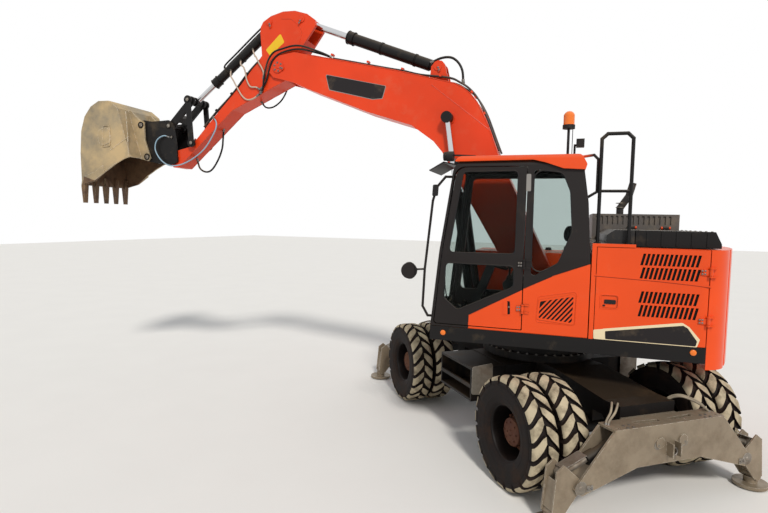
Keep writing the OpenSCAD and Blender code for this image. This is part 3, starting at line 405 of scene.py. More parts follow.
# %% Rubber, hoses and mouldings
add_finishes({
    "rubber": dict(base=(20, 12, 10), shade=0.75, rough=0.72, dust=(66, 46, 32), share=0.24,
                   strength=0.5, up=0.05, patch=5, grain=45, depth=0.002),
    "tread_dust": dict(base=(192, 178, 150), shade=0.8, rough=0.85, dust=(70, 58, 46),
                       share=0.27, strength=0.85, up=0.0, patch=7, grain=50, depth=0.002),
    "moulding": dict(base=(30, 29, 30), shade=0.85, rough=0.6, share=0.15, strength=0.12,
                     up=0.1, grain=260, depth=0.0006),
    "hose_rubber": dict(base=(26, 25, 25), shade=0.85, rough=0.45, share=0.2, strength=0.2,
                        up=0.15, grain=240, depth=0.0006),
    "hose_worn": dict(base=(120, 110, 98), shade=0.8, rough=0.6, dust=(190, 176, 150),
                      share=0.3, strength=0.6, up=0.3, grain=200, depth=0.0005),
    "hose_blue": dict(base=(150, 178, 196), shade=0.85, rough=0.45, share=0.2, strength=0.25,
                      up=0.1, grain=200, depth=0.0003),
    "seat_cloth": dict(base=(46, 47, 50), shade=0.8, rough=0.85, share=0.2, strength=0.1,
                       up=0.05, grain=420, depth=0.0012),
})

# %% [markdown]
# Signs and labels are printed film, here left bare. Lamp lenses get a clear coat over
# their colour, which gives the sharp small highlight of polished plastic.

# %% Films and lenses
add_finishes({
    "strip_grey": dict(base=(142, 138, 134), shade=0.9, rough=0.45, share=0.15, strength=0.15,
                       up=0.05, grain=200, depth=0.0002),
    "film_black": dict(base=(32, 28, 29), shade=0.85, rough=0.35, share=0.18, strength=0.2,
                       up=0.05, grain=200, depth=0.0001),
    "cream_film": dict(base=(232, 214, 176), shade=0.92, rough=0.4, share=0.15, strength=0.15,
                       up=0.05, grain=200, depth=0.0001),
    "label_yellow": dict(base=(236, 190, 40), shade=0.92, rough=0.4, share=0.18, strength=0.25,
                         up=0.05, grain=200, depth=0.0001),
    "beacon_orange": dict(base=(240, 120, 30), shade=0.9, rough=0.15, coat=0.6, share=0.05,
                          strength=0.1, up=0.05, grain=120, depth=0.0001),
    "lens_white": dict(base=(226, 226, 222), shade=0.95, rough=0.15, coat=0.6, share=0.05,
                       strength=0.1, up=0.02, grain=300, depth=0.0003),
    "lens_red": dict(base=(170, 24, 20), shade=0.9, rough=0.2, coat=0.6, share=0.05,
                     strength=0.1, up=0.02, grain=300, depth=0.0003),
})

# %% [markdown]
# The cab's windows are lightly tinted sheet. Refracting glass needs many light samples
# and would still be noisy, and the seat behind it would be lost. A clear shader that
# only tints what passes, with a trace of a glossy one for the reflections, looks the
# same on a flat pane and stays clean.

# %% Window glass
glass = bpy.data.materials.new("tinted_glass")
glass.use_nodes = True
pane = glass.node_tree
pane.nodes.clear()
clear = pane.nodes.new("ShaderNodeBsdfTransparent")
clear.inputs["Color"].default_value = (0.83, 0.87, 0.86, 1)
shiny = pane.nodes.new("ShaderNodeBsdfPrincipled")
shiny.inputs["Base Color"].default_value = colour(24, 30, 30)
shiny.inputs["Roughness"].default_value = 0.03
both = pane.nodes.new("ShaderNodeMixShader")
both.inputs["Fac"].default_value = 0.05
glass_output = pane.nodes.new("ShaderNodeOutputMaterial")
pane.links.new(clear.outputs[0], both.inputs[1])
pane.links.new(shiny.outputs[0], both.inputs[2])
pane.links.new(both.outputs[0], glass_output.inputs["Surface"])
FINISH["tinted_glass"] = glass

floor.data.materials.append(finish("pale_floor", colour(236, 234, 230), 0.985, 0.9,
                                   share=-0.2, strength=0.0, up=0.0, grain=20,
                                   depth=0.0005))
print(len(FINISH), "finishes")

# %% [markdown]
# Each solid now gets its main finish. The solids' names say what they are, so a table
# of name beginnings is enough, and the longest one that fits wins, so that four wheels
# and four legs need no lines of their own.

# %% Finishes on the solids
WEARS = {
    "frame_paint": ["chassis_frame", "chassis_boxes", "knuckle", "axles"],
    "outrigger_paint": ["outrigger_beams", "leg_rear", "leg_front"],
    "worn_steel": ["leg_rod"],
    "black_paint": ["leg_barrel", "house_frame", "engine_hood", "boom_barrels", "arm_barrel",
                    "bucket_barrel", "quick_coupler", "idler_links", "bucket_link",
                    "handrails"],
    "orange_paint": ["counterweight", "side_panels", "engine_door"],
    "boom_paint": ["boom", "arm"],
    "cab_paint": ["cab_frame", "cab_door"],
    "tinted_glass": ["cab_glass", "door_glass"],
    "seat_cloth": ["cab_seat"],
    "chrome": ["boom_rods", "arm_rod", "bucket_rod"],
    "cast_iron": ["engine_block"],
    "rubber": ["tyres"],
    "rim_black": ["rims"],
    "bucket_steel": ["bucket"],
    "moulding": ["cab_controls", "lamps"],
}
for node_name, obj in frame["nodes"].items():
    fits = [(len(stem), which) for which, stems in WEARS.items() for stem in stems
            if node_name == stem or node_name.startswith(stem + "_")]
    obj.data.materials.clear()
    obj.data.materials.append(FINISH[max(fits)[1]])
print("finished", len(frame["nodes"]), "solids")

# %% [markdown]
# ## Two-colour panels
# One solid of the cab carries black posts, orange lower panels and an orange roof cap.
# Splitting it into more solids would only multiply the parts, and painting by texture
# would need a picture. The solid's faces already stop at the real panel joints, so each
# face can simply be given another finish, chosen by where its middle lies.

# %% Painting faces by place
def paint(node, which, test):
    """Gives the faces of a solid that pass a test of their middle and normal another finish."""
    obj = frame["nodes"][node]
    names = [m.name for m in obj.data.materials]
    if which not in names:
        obj.data.materials.append(FINISH[which])
        names.append(which)
    count = 0
    for polygon in obj.data.polygons:
        at = (polygon.center - SLEW_AXIS) * 1000
        if test(at, polygon.normal):
            polygon.material_index = names.index(which)
            count += 1
    print(node, count, "faces", which)


def along_line(line, x):
    """Height of a line of (x, z) places, in falling or rising x, at a given x."""
    pairs = sorted(line)
    if x <= pairs[0][0]:
        return pairs[0][1]
    for (x0, z0), (x1, z1) in zip(pairs, pairs[1:]):
        if x <= x1:
            return z0 + (z1 - z0) * (x - x0) / max(x1 - x0, 1e-6)
    return pairs[-1][1]


# %% [markdown]
# On the cab the orange stops at a slanting line that rises towards the rear, and starts
# again at the roof's cap. Both lines were read off the drawing. The louvre's slats
# stand before an opening; the face just behind them is painted black as its shade.

# %% The cab's painted panels
SIDE_FACE, ROOF_FACE = 1246, 3120
PANEL_LINE = [(-520, 2120), (-160, 1975), (110, 1832), (640, 1533)]
CAP_LINE = [(-445, 3008), (-225, 3020), (-60, 3080), (60, 3110), (842, 3104)]


def lower_panel(at, normal):
    if at.x >= 640 or not 1385 < at.z < along_line(PANEL_LINE, at.x):
        return False
    at_rear = at.y > 1180 and normal.x < -0.5 and at.x < -480
    return at.y > SIDE_FACE - 8 and normal.y > 0.3 or at_rear


def roof_cap(at, normal):
    if not -446 < at.x < 846 or at.z < along_line(CAP_LINE, at.x):
        return False
    return at.z > ROOF_FACE - 1 or at.y > 1120 or at.y < 400 or at.x > 790 or at.x < -380


def louvre_back(at, normal):
    in_opening = -372 < at.x < -44 and 1530 < at.z < 1796
    return in_opening and normal.y > 0.9 and SIDE_FACE - 3 < at.y < SIDE_FACE + 2.5


paint("cab_frame", "orange_paint", lower_panel)
paint("cab_frame", "orange_paint", roof_cap)
paint("cab_door", "orange_paint", lower_panel)
# The face behind the louvre's slats is painted black as the opening's shade.
paint("cab_frame", "painted_recess_shade", louvre_back)

# %% [markdown]
# The same trick does the rest of the body: black painted as shade in the cooling slots
# and the latch's recess, the black cover and the dark grey air box behind the cab, the
# sooty exhaust, and the coloured lenses of the lamps.

# %% Slots, covers and lamps
def in_box(low, high):
    return lambda at, normal: all(low[i] <= at[i] <= high[i] for i in range(3))


DECK = 2300
# The slot pockets and the latch's recess are painted black as shade.
paint("engine_door", "painted_recess_shade",
      in_box((-1450, SIDE_FACE - 16, 1640), (-900, SIDE_FACE - 1.5, 2240)))
paint("engine_door", "painted_recess_shade",
      in_box((-758, SIDE_FACE - 14, 1699), (-607, SIDE_FACE - 1.5, 1825)))
paint("side_panels", "hood_black", in_box((-892, -340, DECK + 0.5), (-640, 1112, 2445)))
paint("side_panels", "box_grey", in_box((-1526, -1190, DECK + 12), (-576, -325, 2626)))
paint("side_panels", "hood_black", in_box((-1110, -660, 2624), (-850, -540, 3080)))
paint("side_panels", "hood_black", lambda at, n: n.z > 0.9 and DECK < at.z < DECK + 12)
paint("lamps", "beacon_orange", in_box((-320, 840, 3478), (-195, 960, 3630)))
paint("lamps", "lens_white", lambda at, n: at.x > 938 and n.x > 0.9)
paint("lamps", "lens_red", lambda at, n: at.x < -418 and n.x < -0.9)

# %% [markdown]
# A bucket is bright outside, where it slides over the soil, and brown inside, where wet
# soil sticks. The same solid has both, and no box parts the two. Its inner faces are
# those on or inside its curved inner line that also look towards the mouth.

# %% The bucket's inside and teeth
MOUTH = Vector((6300, 0, 3550))
WRAP_IN = [(5795, 3345), (6020, 4025), (6160, 4130), (6345, 4135), (6480, 4065),
           (6592, 3935), (6660, 3735), (6680, 3400), (6660, 2930)]


def in_wrap(at):
    """Whether a place lies on or inside the bucket's inner line."""
    return all((x1 - x0) * (at.z - z0) - (z1 - z0) * (at.x - x0) < 2500
               for (x0, z0), (x1, z1) in zip(WRAP_IN, WRAP_IN[1:]))


def inner_face(at, normal):
    between = abs(at.y) < 406 and at.x > 5790 and at.z > 3000
    return (between and normal.dot(MOUTH - at) > 0 and (abs(normal.y) > 0.9 or at.z < 4140)
            and in_wrap(at))


paint("bucket", "bucket_inner", inner_face)
# The teeth and the downward faces under the mouth get rust brown, which is partly painted shade.
paint("bucket", "tooth_rust_and_shade",
      lambda at, n: at.z < 3010 or at.z < 3060 and abs(at.y) < 415 and n.z < -0.5)

# %% [markdown]
# A cylinder's rod is chromed only where it slides: its eye is a painted forging. The
# pins of the boom, the arm and the bucket come back in many pieces below, so they get
# their names here, each as its place along and up.

# %% Pins, and the rods' painted eyes
BOOM_EYE, ARM_PIN, ARM_BASE, ARM_EYE = (1135, 3740), (3485, 4522), (1300, 4395), (3154, 5130)
BUCKET_BASE, LINK_TOP, IDLER, TIP = (3643, 5136), (4938, 4161), (4880, 3547), (5211, 3328)


def near(pin, reach):
    return lambda at, n: math.hypot(at.x - pin[0], at.z - pin[1]) < reach


paint("boom_rods", "black_paint", near(BOOM_EYE, 96))
paint("arm_rod", "black_paint", near(ARM_EYE, 96))
paint("bucket_rod", "black_paint", near(LINK_TOP, 92))

# %% [markdown]
# ## Meshes from points and faces
# The fine pieces are worked out in code as points and faces: the same few helpers then
# make every one of them, and a size can be changed in one place. Merging doubled points
# and turning all faces outwards keeps each mesh as clean as one made by hand.

# %% From points and faces to a piece
def piece(name, points, faces, finishes, body, face_finish=None, smooth=False):
    """A mesh from scene places and faces, with its finishes; it rides on a body if one is named."""
    mesh = bpy.data.meshes.new(name)
    mesh.from_pydata([tuple(p) for p in points], [], faces)
    for which in finishes:
        mesh.materials.append(FINISH[which])
    if face_finish:
        for polygon, slot_index in zip(mesh.polygons, face_finish):
            polygon.material_index = slot_index
    mesh.validate()
    cleaner = bmesh.new()
    cleaner.from_mesh(mesh)
    bmesh.ops.remove_doubles(cleaner, verts=cleaner.verts, dist=0.00002)
    bmesh.ops.recalc_face_normals(cleaner, faces=cleaner.faces)
    cleaner.to_mesh(mesh)
    cleaner.free()
    obj = bpy.data.objects.new(name, mesh)
    bpy.context.scene.collection.objects.link(obj)
    for polygon in mesh.polygons:
        polygon.use_smooth = smooth
    if body:
        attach(obj, body)
    return obj


print("mesh maker ready")

# %% [markdown]
# No edge of a real machine is perfectly sharp: it catches a thin line of light. A bevel
# gives it that line, and weighted normals keep the flat faces flat beside it. Both
# modifiers are applied at once, so that each piece ends as a plain mesh.

# %% Rounded edges
def modify(obj, kind, **settings):
    """Adds one modifier and applies it, so that the piece is a plain mesh."""
    modifier = obj.modifiers.new(kind.lower(), kind)
    for key, value in settings.items():
        setattr(modifier, key, value)
    with bpy.context.temp_override(object=obj, active_object=obj, selected_objects=[obj]):
        bpy.ops.object.modifier_apply(modifier=modifier.name)
    return obj


def rounded(obj, width, segments=2, angle=30):
    """Rounds the sharp edges and shades the piece smooth between them."""
    modify(obj, "BEVEL", width=width, segments=segments, limit_method="ANGLE",
           angle_limit=math.radians(angle), harden_normals=False)
    for polygon in obj.data.polygons:
        polygon.use_smooth = True
    modify(obj, "WEIGHTED_NORMAL", keep_sharp=False, weight=80)
    return obj


print("edge helpers ready")

# %% [markdown]
# Tyres, rims, caps and lenses are all turned parts: half a section swung round an axis.
# Blender's spin tool does this by hand; in code it is one loop over angles. Two more
# helpers move a shape to its place and join several shapes, each with its finish.

# %% Turned shapes
def turns(count, start=0.0):
    """Evenly spread angles of one full turn."""
    return [start + 2 * math.pi * k / count for k in range(count)]


def turned(profile, steps):
    """Points and faces of a profile of (radius, height) pairs turned about Z."""
    points = [Vector((r * math.cos(a), r * math.sin(a), h)) for a in turns(steps)
              for r, h in profile]
    n = len(profile)
    faces = [(i * n + k, j * n + k, j * n + k + 1, i * n + k + 1)
             for i in range(steps) for j in ((i + 1) % steps,) for k in range(n - 1)]
    return points, faces


def moved(place, shape):
    """The shape laid where a matrix says."""
    points, faces = shape
    return [place @ p for p in points], faces


def joined(parts):
    """Joins (shape, finish) parts, where finish is a number or a list with one for each face."""
    points, faces, which = [], [], []
    for (ps, fs), index in parts:
        n = len(points)
        points += ps
        faces += [tuple(v + n for v in f) for f in fs]
        which += index if isinstance(index, list) else [index] * len(fs)
    return points, faces, which


print("mesh helpers ready")

# %% [markdown]
# ## Tyres
# An excavator tyre has deep lugs that run from the middle of the tread out over the
# shoulder, in two staggered rows. They could be cut out of a ring with booleans, which
# is slow and leaves rough edges. Here the smooth carcass is a turned profile, and each
# lug is a short skin laid over it from station to station, so the lug can bend round
# the shoulder and taper towards its foot, as the moulded one does.

# %% Tyre sizes
TYRE_R, TYRE_HALF = 0.527, 0.135
REAR_AXLE, FRONT_AXLE = -1.200, 1.400
OUTER_Y, INNER_Y, PAIR_Y = 1.090, 0.768, 0.929
LUGS = 20
PITCH = 2 * math.pi / LUGS
# Stations of a lug from the middle of the tread: sideways, radius at the top and the foot
STATIONS = [(0.006, 0.5270, 0.4990), (0.045, 0.5268, 0.4990), (0.082, 0.5245, 0.4965),
            (0.108, 0.5190, 0.4890), (0.126, 0.5060, 0.4760), (0.1335, 0.4830, 0.4600),
            (0.1345, 0.4520, 0.4440)]
# The carcass from the bead to the middle of the tread, as (radius, sideways)
CARCASS = [(0.256, 0.094), (0.268, 0.104), (0.276, 0.110), (0.283, 0.1155), (0.300, 0.1200),
           (0.330, 0.1265), (0.336, 0.1300), (0.342, 0.1275), (0.372, 0.1312),
           (0.400, 0.1325), (0.404, 0.1342), (0.430, 0.1338), (0.434, 0.1315),
           (0.455, 0.1280), (0.474, 0.1200), (0.488, 0.1070), (0.496, 0.0820),
           (0.499, 0.0450), (0.499, 0.0)]
print("tyre", TYRE_R * 2, "m across,", LUGS, "lugs a side")

# %% [markdown]
# A lug leans back as it nears the middle of the tread, which makes the arrow pattern
# that pushes soil out to the sides. It also widens towards the shoulder. The lean is
# mirrored on the machine's other side, because the arrows point the way it drives.

# %% One lug and one tyre
def lug(side, turn, lean_way):
    """The skin of one lug, and which of its faces are the sand-worn top."""
    points, faces, tops = [], [], []
    for i, (w, r_top, r_foot) in enumerate(STATIONS):
        out = w / TYRE_HALF
        lean = lean_way * 0.80 * PITCH * (1 - out)
        half_top = PITCH * (0.30 + 0.07 * out - (0.10 if i == 0 else 0))
        half_foot = half_top + 0.012
        for angle, radius in ((-half_foot, r_foot - 0.004), (-half_top, r_top),
                              (half_top, r_top), (half_foot, r_foot - 0.004)):
            a = turn + lean + angle
            drawn_in = 0.006 if radius < r_top - 0.001 and i > 3 else 0
            points.append(Vector((radius * math.cos(a), radius * math.sin(a),
                                  side * (w - drawn_in))))
    for i in range(len(STATIONS) - 1):
        a, b = i * 4, (i + 1) * 4
        for j in range(3):
            faces.append((a + j, b + j, b + j + 1, a + j + 1))
            tops.append(1 if j == 1 and i < 5 else 0)
    last = (len(STATIONS) - 1) * 4
    faces += [(0, 1, 2, 3), (last + 3, last + 2, last + 1, last)]
    return (points, faces), tops + [0, 0]


def tyre_parts(lean_way):
    section = CARCASS + [(r, -w) for r, w in reversed(CARCASS[:-1])]
    return [(turned(section, 96), 0)] + [lug(side, (k + stagger) * PITCH, lean_way)
                                         for side, stagger in ((LEFT, 0), (RIGHT, 0.5))
                                         for k in range(LUGS)]


print("faces of a lug", len(lug(LEFT, 0, LEFT)[0][1]))

# %% [markdown]
# Each wheel is a twin: two tyres on one hub. A tyre is made lying flat about Z and then
# laid on its axle by a matrix. The pair is one piece, which rides on the wheel's body
# and takes the place of the plain solid tyres.

# %% Twin tyres
def wheel_place(x, y, side):
    """Where a tyre's own axis and middle lie: its Z runs outwards along the axle."""
    turn = CHASSIS_TURN.to_4x4()
    lay = Matrix.Rotation(math.radians(-90 * side), 4, "X")
    return Matrix.Translation(SLEW_AXIS) @ turn @ Matrix.Translation((x, side * y, TYRE_R)) @ lay


WHEELS = [("rear_left", REAR_AXLE, LEFT), ("rear_right", REAR_AXLE, RIGHT),
          ("front_left", FRONT_AXLE, LEFT), ("front_right", FRONT_AXLE, RIGHT)]
body_of_node = {n: b for b, names in frame["record"]["behaviour"]["bodies"].items()
                for n in names}
for where, x, side in WHEELS:
    pair = [(moved(wheel_place(x, y, side), shape), which) for y in (INNER_Y, OUTER_Y)
            for shape, which in tyre_parts(side)]
    points, faces, which = joined(pair)
    tyres = piece("tyre_pair_" + where, points, faces, ["rubber", "tread_dust"],
                  body_of_node["tyres_" + where], which)
    rounded(tyres, 0.004, 1, 40)
    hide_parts("tyres_" + where)
print("tyre pairs", len(WHEELS), "each of", len(tyres.data.polygons), "faces")

# %% [markdown]
# ## Rims
# The outer rim of a twin wheel is a deep black dish: its disc is bolted to the hub far
# inside, and the hub's cap, rusty from the brake heat, stands out in the middle. The
# rim's edge is rolled, which shows as one thin pale ring against the tyre. A turned
# profile gives all of that in one piece; the nuts and the cap's bolts are added round it.

# %% Sections of rim and hub, as (radius, outwards)
RIM = [(0.0, -0.190), (0.150, -0.190), (0.150, 0.0), (0.228, 0.0), (0.236, 0.012),
       (0.236, 0.060), (0.243, 0.070), (0.243, 0.2300), (0.250, 0.2450), (0.256, 0.2505),
       (0.2625, 0.2530), (0.2660, 0.2500), (0.2660, 0.2440), (0.2560, 0.2400),
       (0.2545, 0.2300), (0.2545, 0.0720), (0.262, 0.066), (0.262, 0.060), (0.2545, 0.055),
       (0.2545, -0.0550), (0.262, -0.060), (0.262, -0.066), (0.2545, -0.0720),
       (0.2545, -0.2300), (0.2560, -0.2400), (0.2660, -0.2440), (0.2660, -0.2500),
       (0.2560, -0.2505), (0.2430, -0.2400), (0.243, -0.190), (0.2, -0.190)]
HUB = [(0.0, 0.208), (0.040, 0.208), (0.052, 0.202), (0.070, 0.200), (0.112, 0.194),
       (0.128, 0.186), (0.134, 0.172), (0.134, 0.110), (0.150, 0.104), (0.150, 0.088),
       (0.190, 0.084), (0.205, 0.060), (0.205, 0.0)]
print("rim", round(2 * max(r for r, _ in RIM), 3), "m across")

# %% [markdown]
# Nuts and bolt heads come in hundreds. All are low drums with a narrower top, so one
# helper makes a drum of any number of sides: six for a nut, more for a washer. The nuts
# stand on a circle, and each is turned with its place on it.

# %% Nuts on a circle
def drum(middle, axes, rows, sides, underside=True):
    """A low drum through rows of (height, radius), on axes (across, other, upwards)."""
    across, other, upwards = axes
    points = [middle + upwards * h + (across * math.cos(a) + other * math.sin(a)) * r
              for h, r in rows for a in turns(sides)]
    faces = [(low + s, low + (s + 1) % sides, low + sides + (s + 1) % sides, low + sides + s)
             for low in range(0, (len(rows) - 1) * sides, sides) for s in range(sides)]
    faces.append(tuple(range(len(points) - sides, len(points))))
    if underside:
        faces.append(tuple(range(sides - 1, -1, -1)))
    return points, faces


def round_row(count, radius, height, size, tall):
    """A ring of nuts or bolt heads standing along Z."""
    rows = ((height, size), (height + tall * 0.8, size), (height + tall, size * 0.75))
    nuts = []
    for a in turns(count):
        out, along = Vector((math.cos(a), math.sin(a), 0)), Vector((-math.sin(a), math.cos(a), 0))
        nuts.append((drum(out * radius, (out, along, Vector((0, 0, 1))), rows, 6, False), 0))
    return joined(nuts)[:2]


for where, x, side in WHEELS:
    parts = [(turned(RIM, 72), 0), (turned(HUB, 48), 1),
             (round_row(10, 0.172, 0.084, 0.017, 0.030), 1),
             (round_row(8, 0.094, 0.196, 0.009, 0.010), 1),
             (round_row(3, 0.030, 0.207, 0.008, 0.008), 1)]
    place = wheel_place(x, PAIR_Y, side)
    points, faces, which = joined([(moved(place, shape), index) for shape, index in parts])
    rim = piece("rim_pair_" + where, points, faces, ["rim_black", "hub_rust"],
                body_of_node["rims_" + where], which, smooth=True)
    rounded(rim, 0.0012, 1, 35)
    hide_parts("rims_" + where)
print("rims", len(rim.data.polygons), "faces each")

# %% [markdown]
# ## Trim
# Everything finer than the solids is made from three kinds of mesh: plates cut to an
# outline, round tubes swept along a smooth line, and hexagon heads. Each helper only
# returns points and faces, so that many of them can be joined into one piece.

# %% Plates
def slab(outline, y0, y1, place=house):
    """A plate cut to an outline of (x, z) places, from y0 to y1."""
    n = len(outline)
    points = [place(x, y, z) for y in (y0, y1) for x, z in outline]
    faces = [tuple(range(n)), tuple(range(2 * n - 1, n - 1, -1))]
    faces += [(i, i + n, (i + 1) % n + n, (i + 1) % n) for i in range(n)]
    return points, faces


def brick(low, high):
    (x0, y0, z0), (x1, y1, z1) = low, high
    return slab([(x0, z0), (x1, z0), (x1, z1), (x0, z1)], y0, y1)


def softened(outline, radius, steps=4):
    """The outline with each corner turned into an arc."""
    done = []
    n = len(outline)
    for i in range(n):
        p, a, b = (Vector(outline[j % n]) for j in (i, i - 1, i + 1))
        u, v = (a - p).normalized(), (b - p).normalized()
        half = u.angle(v) / 2
        reach = min(radius / math.tan(half), 0.48 * (a - p).length, 0.48 * (b - p).length)
        r = reach * math.tan(half)
        middle = p + (u + v).normalized() * (r / math.sin(half))
        start, stop = p + u * reach - middle, p + v * reach - middle
        turn = start.angle_signed(stop)
        for k in range(steps + 1):
            c, s = math.cos(turn * k / steps), math.sin(turn * k / steps)
            done.append((middle.x + start.x * c + start.y * s,
                         middle.y - start.x * s + start.y * c))
    return done


def places(points, y=None):
    """Scene places of (x, z) pairs at one y, or of (x, y, z) triples."""
    return [house(*p) if y is None else house(p[0], y, p[1]) for p in points]


print("plate helpers ready")

# %% [markdown]
# A bent tube is known by a few places that it passes. Between each two of them runs a
# cubic whose slopes come from their neighbours, so the line is smooth and still goes
# through every place. A curve with handles would need two more places for each.

# %% Smooth lines
def smooth_line(points, steps=6):
    """A smooth line through the points, with steps pieces between each two."""
    done = []
    for i in range(len(points) - 1):
        p0 = points[max(i - 1, 0)]
        p1, p2 = points[i], points[i + 1]
        p3 = points[min(i + 2, len(points) - 1)]
        for k in range(steps):
            t = k / steps
            done.append(0.5 * (2 * p1 + (p2 - p0) * t + (2 * p0 - 5 * p1 + 4 * p2 - p3) * t * t
                               + (3 * p1 - p0 - 3 * p2 + p3) * t ** 3))
    return done + [points[-1]]


print("line maker ready")

# %% [markdown]
# A tube could be a Blender curve with a bevel depth, converted to a mesh. The ring is
# carried on from point to point and only straightened, so the tube doesn't twist in a
# bend.

# %% Tubes and rings
def swept(line, radii, sides, closed):
    """Rings of points along a line, joined to a skin; a closed line has no ends."""
    n = len(line)
    points, faces = [], []
    across = None
    for i, p in enumerate(line):
        before = line[i - 1] if closed or i > 0 else p
        after = line[(i + 1) % n] if closed or i < n - 1 else p
        ahead = (after - before).normalized()
        if across is None:
            across = ahead.orthogonal().normalized()
        across = (across - ahead * across.dot(ahead)).normalized()
        other = ahead.cross(across)
        points += [p + (across * math.cos(a) + other * math.sin(a)) * radii[i]
                   for a in turns(sides)]
    for i in range(n if closed else n - 1):
        j = (i + 1) % n
        for s in range(sides):
            t = (s + 1) % sides
            faces.append((i * sides + s, i * sides + t, j * sides + t, j * sides + s))
    if not closed:
        faces.append(tuple(range(sides - 1, -1, -1)))
        faces.append(tuple((n - 1) * sides + s for s in range(sides)))
    return points, faces


def tube(line, radius, sides=10):
    """A round bar or tube; radius is one number, or one for each point of the line."""
    radii = radius if isinstance(radius, list) else [radius] * len(line)
    return swept(line, radii, sides, closed=False)


def ring_of(loop, radius, sides=8):
    return swept(loop, [radius] * len(loop), sides, closed=True)


print("tube helpers ready")

# %% [markdown]
# A bolt here is a washer and a hexagon head, both drums. All the screws of one panel
# are joined into one piece: hundreds of single objects would slow the scene and clutter
# the list. The last helper joins any such parts and lets them ride on a body.

# %% Bolts, and the piece that joins them
def bolts(spots, way, size=0.011, tall=0.008):
    """Hexagon heads with washers on the spots, all facing the same way."""
    way = Vector(way).normalized()
    across = way.orthogonal().normalized()
    axes = (across, way.cross(across), way)
    washer = ((-0.002, size * 1.45), (0.0022, size * 1.45), (0.003, size * 1.3))
    head = ((-0.002, size), (tall * 0.8, size), (tall, size * 0.78))
    return joined([(drum(p, axes, rows, sides), 0) for p in spots
                   for rows, sides in ((washer, 14), (head, 6))])[:2]


def trim(name, parts, finishes, body, width=0.0, smooth=True):
    """Joins (shape, finish) parts into one piece that rides on a body."""
    points, faces, which = joined(parts)
    obj = piece(name, points, faces, finishes, body, which, smooth=False)
    if width:
        rounded(obj, width)
    elif smooth:
        obj.data.shade_smooth()
        modify(obj, "EDGE_SPLIT", split_angle=math.radians(38))
    return obj


print("trim helpers ready")

# %% [markdown]
# ## Cab trim
# Glass is bonded behind a black rubber edge, which reads from afar as the dark outline
# of each window. A thin tube run round each opening gives that edge with few faces. The
# cab leans in towards its roof above the waist, and the tube follows that lean.

# %% Rubber edges of the windows
WAIST, ROOF_EDGE_Y = 2150, 1175
DOOR_PANES = [[(196, 2178), (868, 2172), (748, 3000), (196, 3006)],
              [(200, 2058), (200, 1850), (760, 1580), (905, 1700), (895, 2066)]]
QUARTER = [(48, 3016), (40, 1955), (-215, 2105), (-330, 2420), (-300, 2800), (-225, 2985)]


def cab_side_y(z):
    """How far out the cab's left side stands at a height."""
    lean = (SIDE_FACE - ROOF_EDGE_Y) / (ROOF_FACE - WAIST)
    return SIDE_FACE + 0.5 - max(0, z - WAIST) * lean


def hugging(outline, radius):
    """A loop round a side window that follows the cab's lean."""
    loop = []
    outline = softened(outline, radius, 5)
    for i, (x, z) in enumerate(outline):
        nx, nz = outline[(i + 1) % len(outline)]
        pieces = max(1, round(math.hypot(nx - x, nz - z) / 90))
        for k in range(pieces):
            px, pz = x + (nx - x) * k / pieces, z + (nz - z) * k / pieces
            loop.append(house(px, cab_side_y(pz) - 5, pz))
    return loop


trim("door_window_edges", [(ring_of(hugging(outline, 45), 0.0075), 0) for outline in DOOR_PANES],
     ["moulding"], "cab_door")
trim("quarter_window_edge", [(ring_of(hugging(QUARTER, 90), 0.0075), 0)], ["moulding"], "house")
print("window edges", len(DOOR_PANES) + 1)

# %% [markdown]
# The pale strip high on the door is the plate that its catch closes on. The handle sits
# low beside the opening: a painted dish, a hollow for the fingers painted black as its
# shade, a flap over it and a small lock. Four flat plates at slightly different depths
# are enough, since their rounded edges catch the light.

# %% Catch and handle of the door
def leaning_plate(outline, inner, outer):
    """A plate on the cab's left side that follows its lean."""
    points = [house(x, cab_side_y(z) + shift, z) for shift in (inner, outer) for x, z in outline]
    return points, slab(outline, inner, outer)[1]


catch = softened([(70, 2802), (116, 2802), (118, 2972), (74, 2972)], 10)
trim("door_catch", [(leaning_plate(catch, -3, 2.5), 0)], ["strip_grey"], "cab_door",
     smooth=False)
DISH = [(214, 1560), (304, 1556), (306, 1716), (220, 1722)]
HOLLOW = [(224, 1574), (262, 1572), (264, 1704), (230, 1708)]
FLAP = [(248, 1570), (292, 1568), (294, 1702), (254, 1704)]
LOCK = [(230, 1640), (246, 1640), (246, 1656), (230, 1656)]
# The finger hollow's black is painted shade.
handle = [(slab(softened(outline, radius), SIDE_FACE + inner, SIDE_FACE + outer), which)
          for outline, radius, inner, outer, which in (
              (DISH, 14, -3, 2, 0), (HOLLOW, 10, 1, 3, 1), (FLAP, 9, 2, 5.5, 0),
              (LOCK, 5, 2, 5, 2))]
trim("door_handle", handle, ["orange_paint", "painted_recess_shade", "steel"], "cab_door", 0.0012)
print("handle parts", len(handle))

# %% [markdown]
# The wiper is a bent steel arm with a rubber blade beside it, on a small motor box at
# the foot of the windscreen. Its line comes from a few places, joined smoothly. The
# round mirror only needs the moulded ring round its face, and the small mirror on the
# front rail is a soft-cornered plate on a short arm.

# %% Wiper and mirrors
WIPER_ARM = [(1012, 560, 1600), (1030, 600, 1760), (1012, 690, 1990), (982, 760, 2190)]
WIPER_BLADE = [(1010, 735, 1850), (998, 752, 2060), (980, 768, 2260), (958, 785, 2480),
               (940, 795, 2600)]
wiper = [(tube(smooth_line(places(WIPER_ARM), 5), 0.007, 8), 0),
         (tube(smooth_line(places(WIPER_BLADE), 4), 0.0055, 8), 1),
         (brick((985, 540, 1560), (1030, 590, 1620)), 0)]
trim("windscreen_wiper", wiper, ["black_paint", "moulding"], "house")

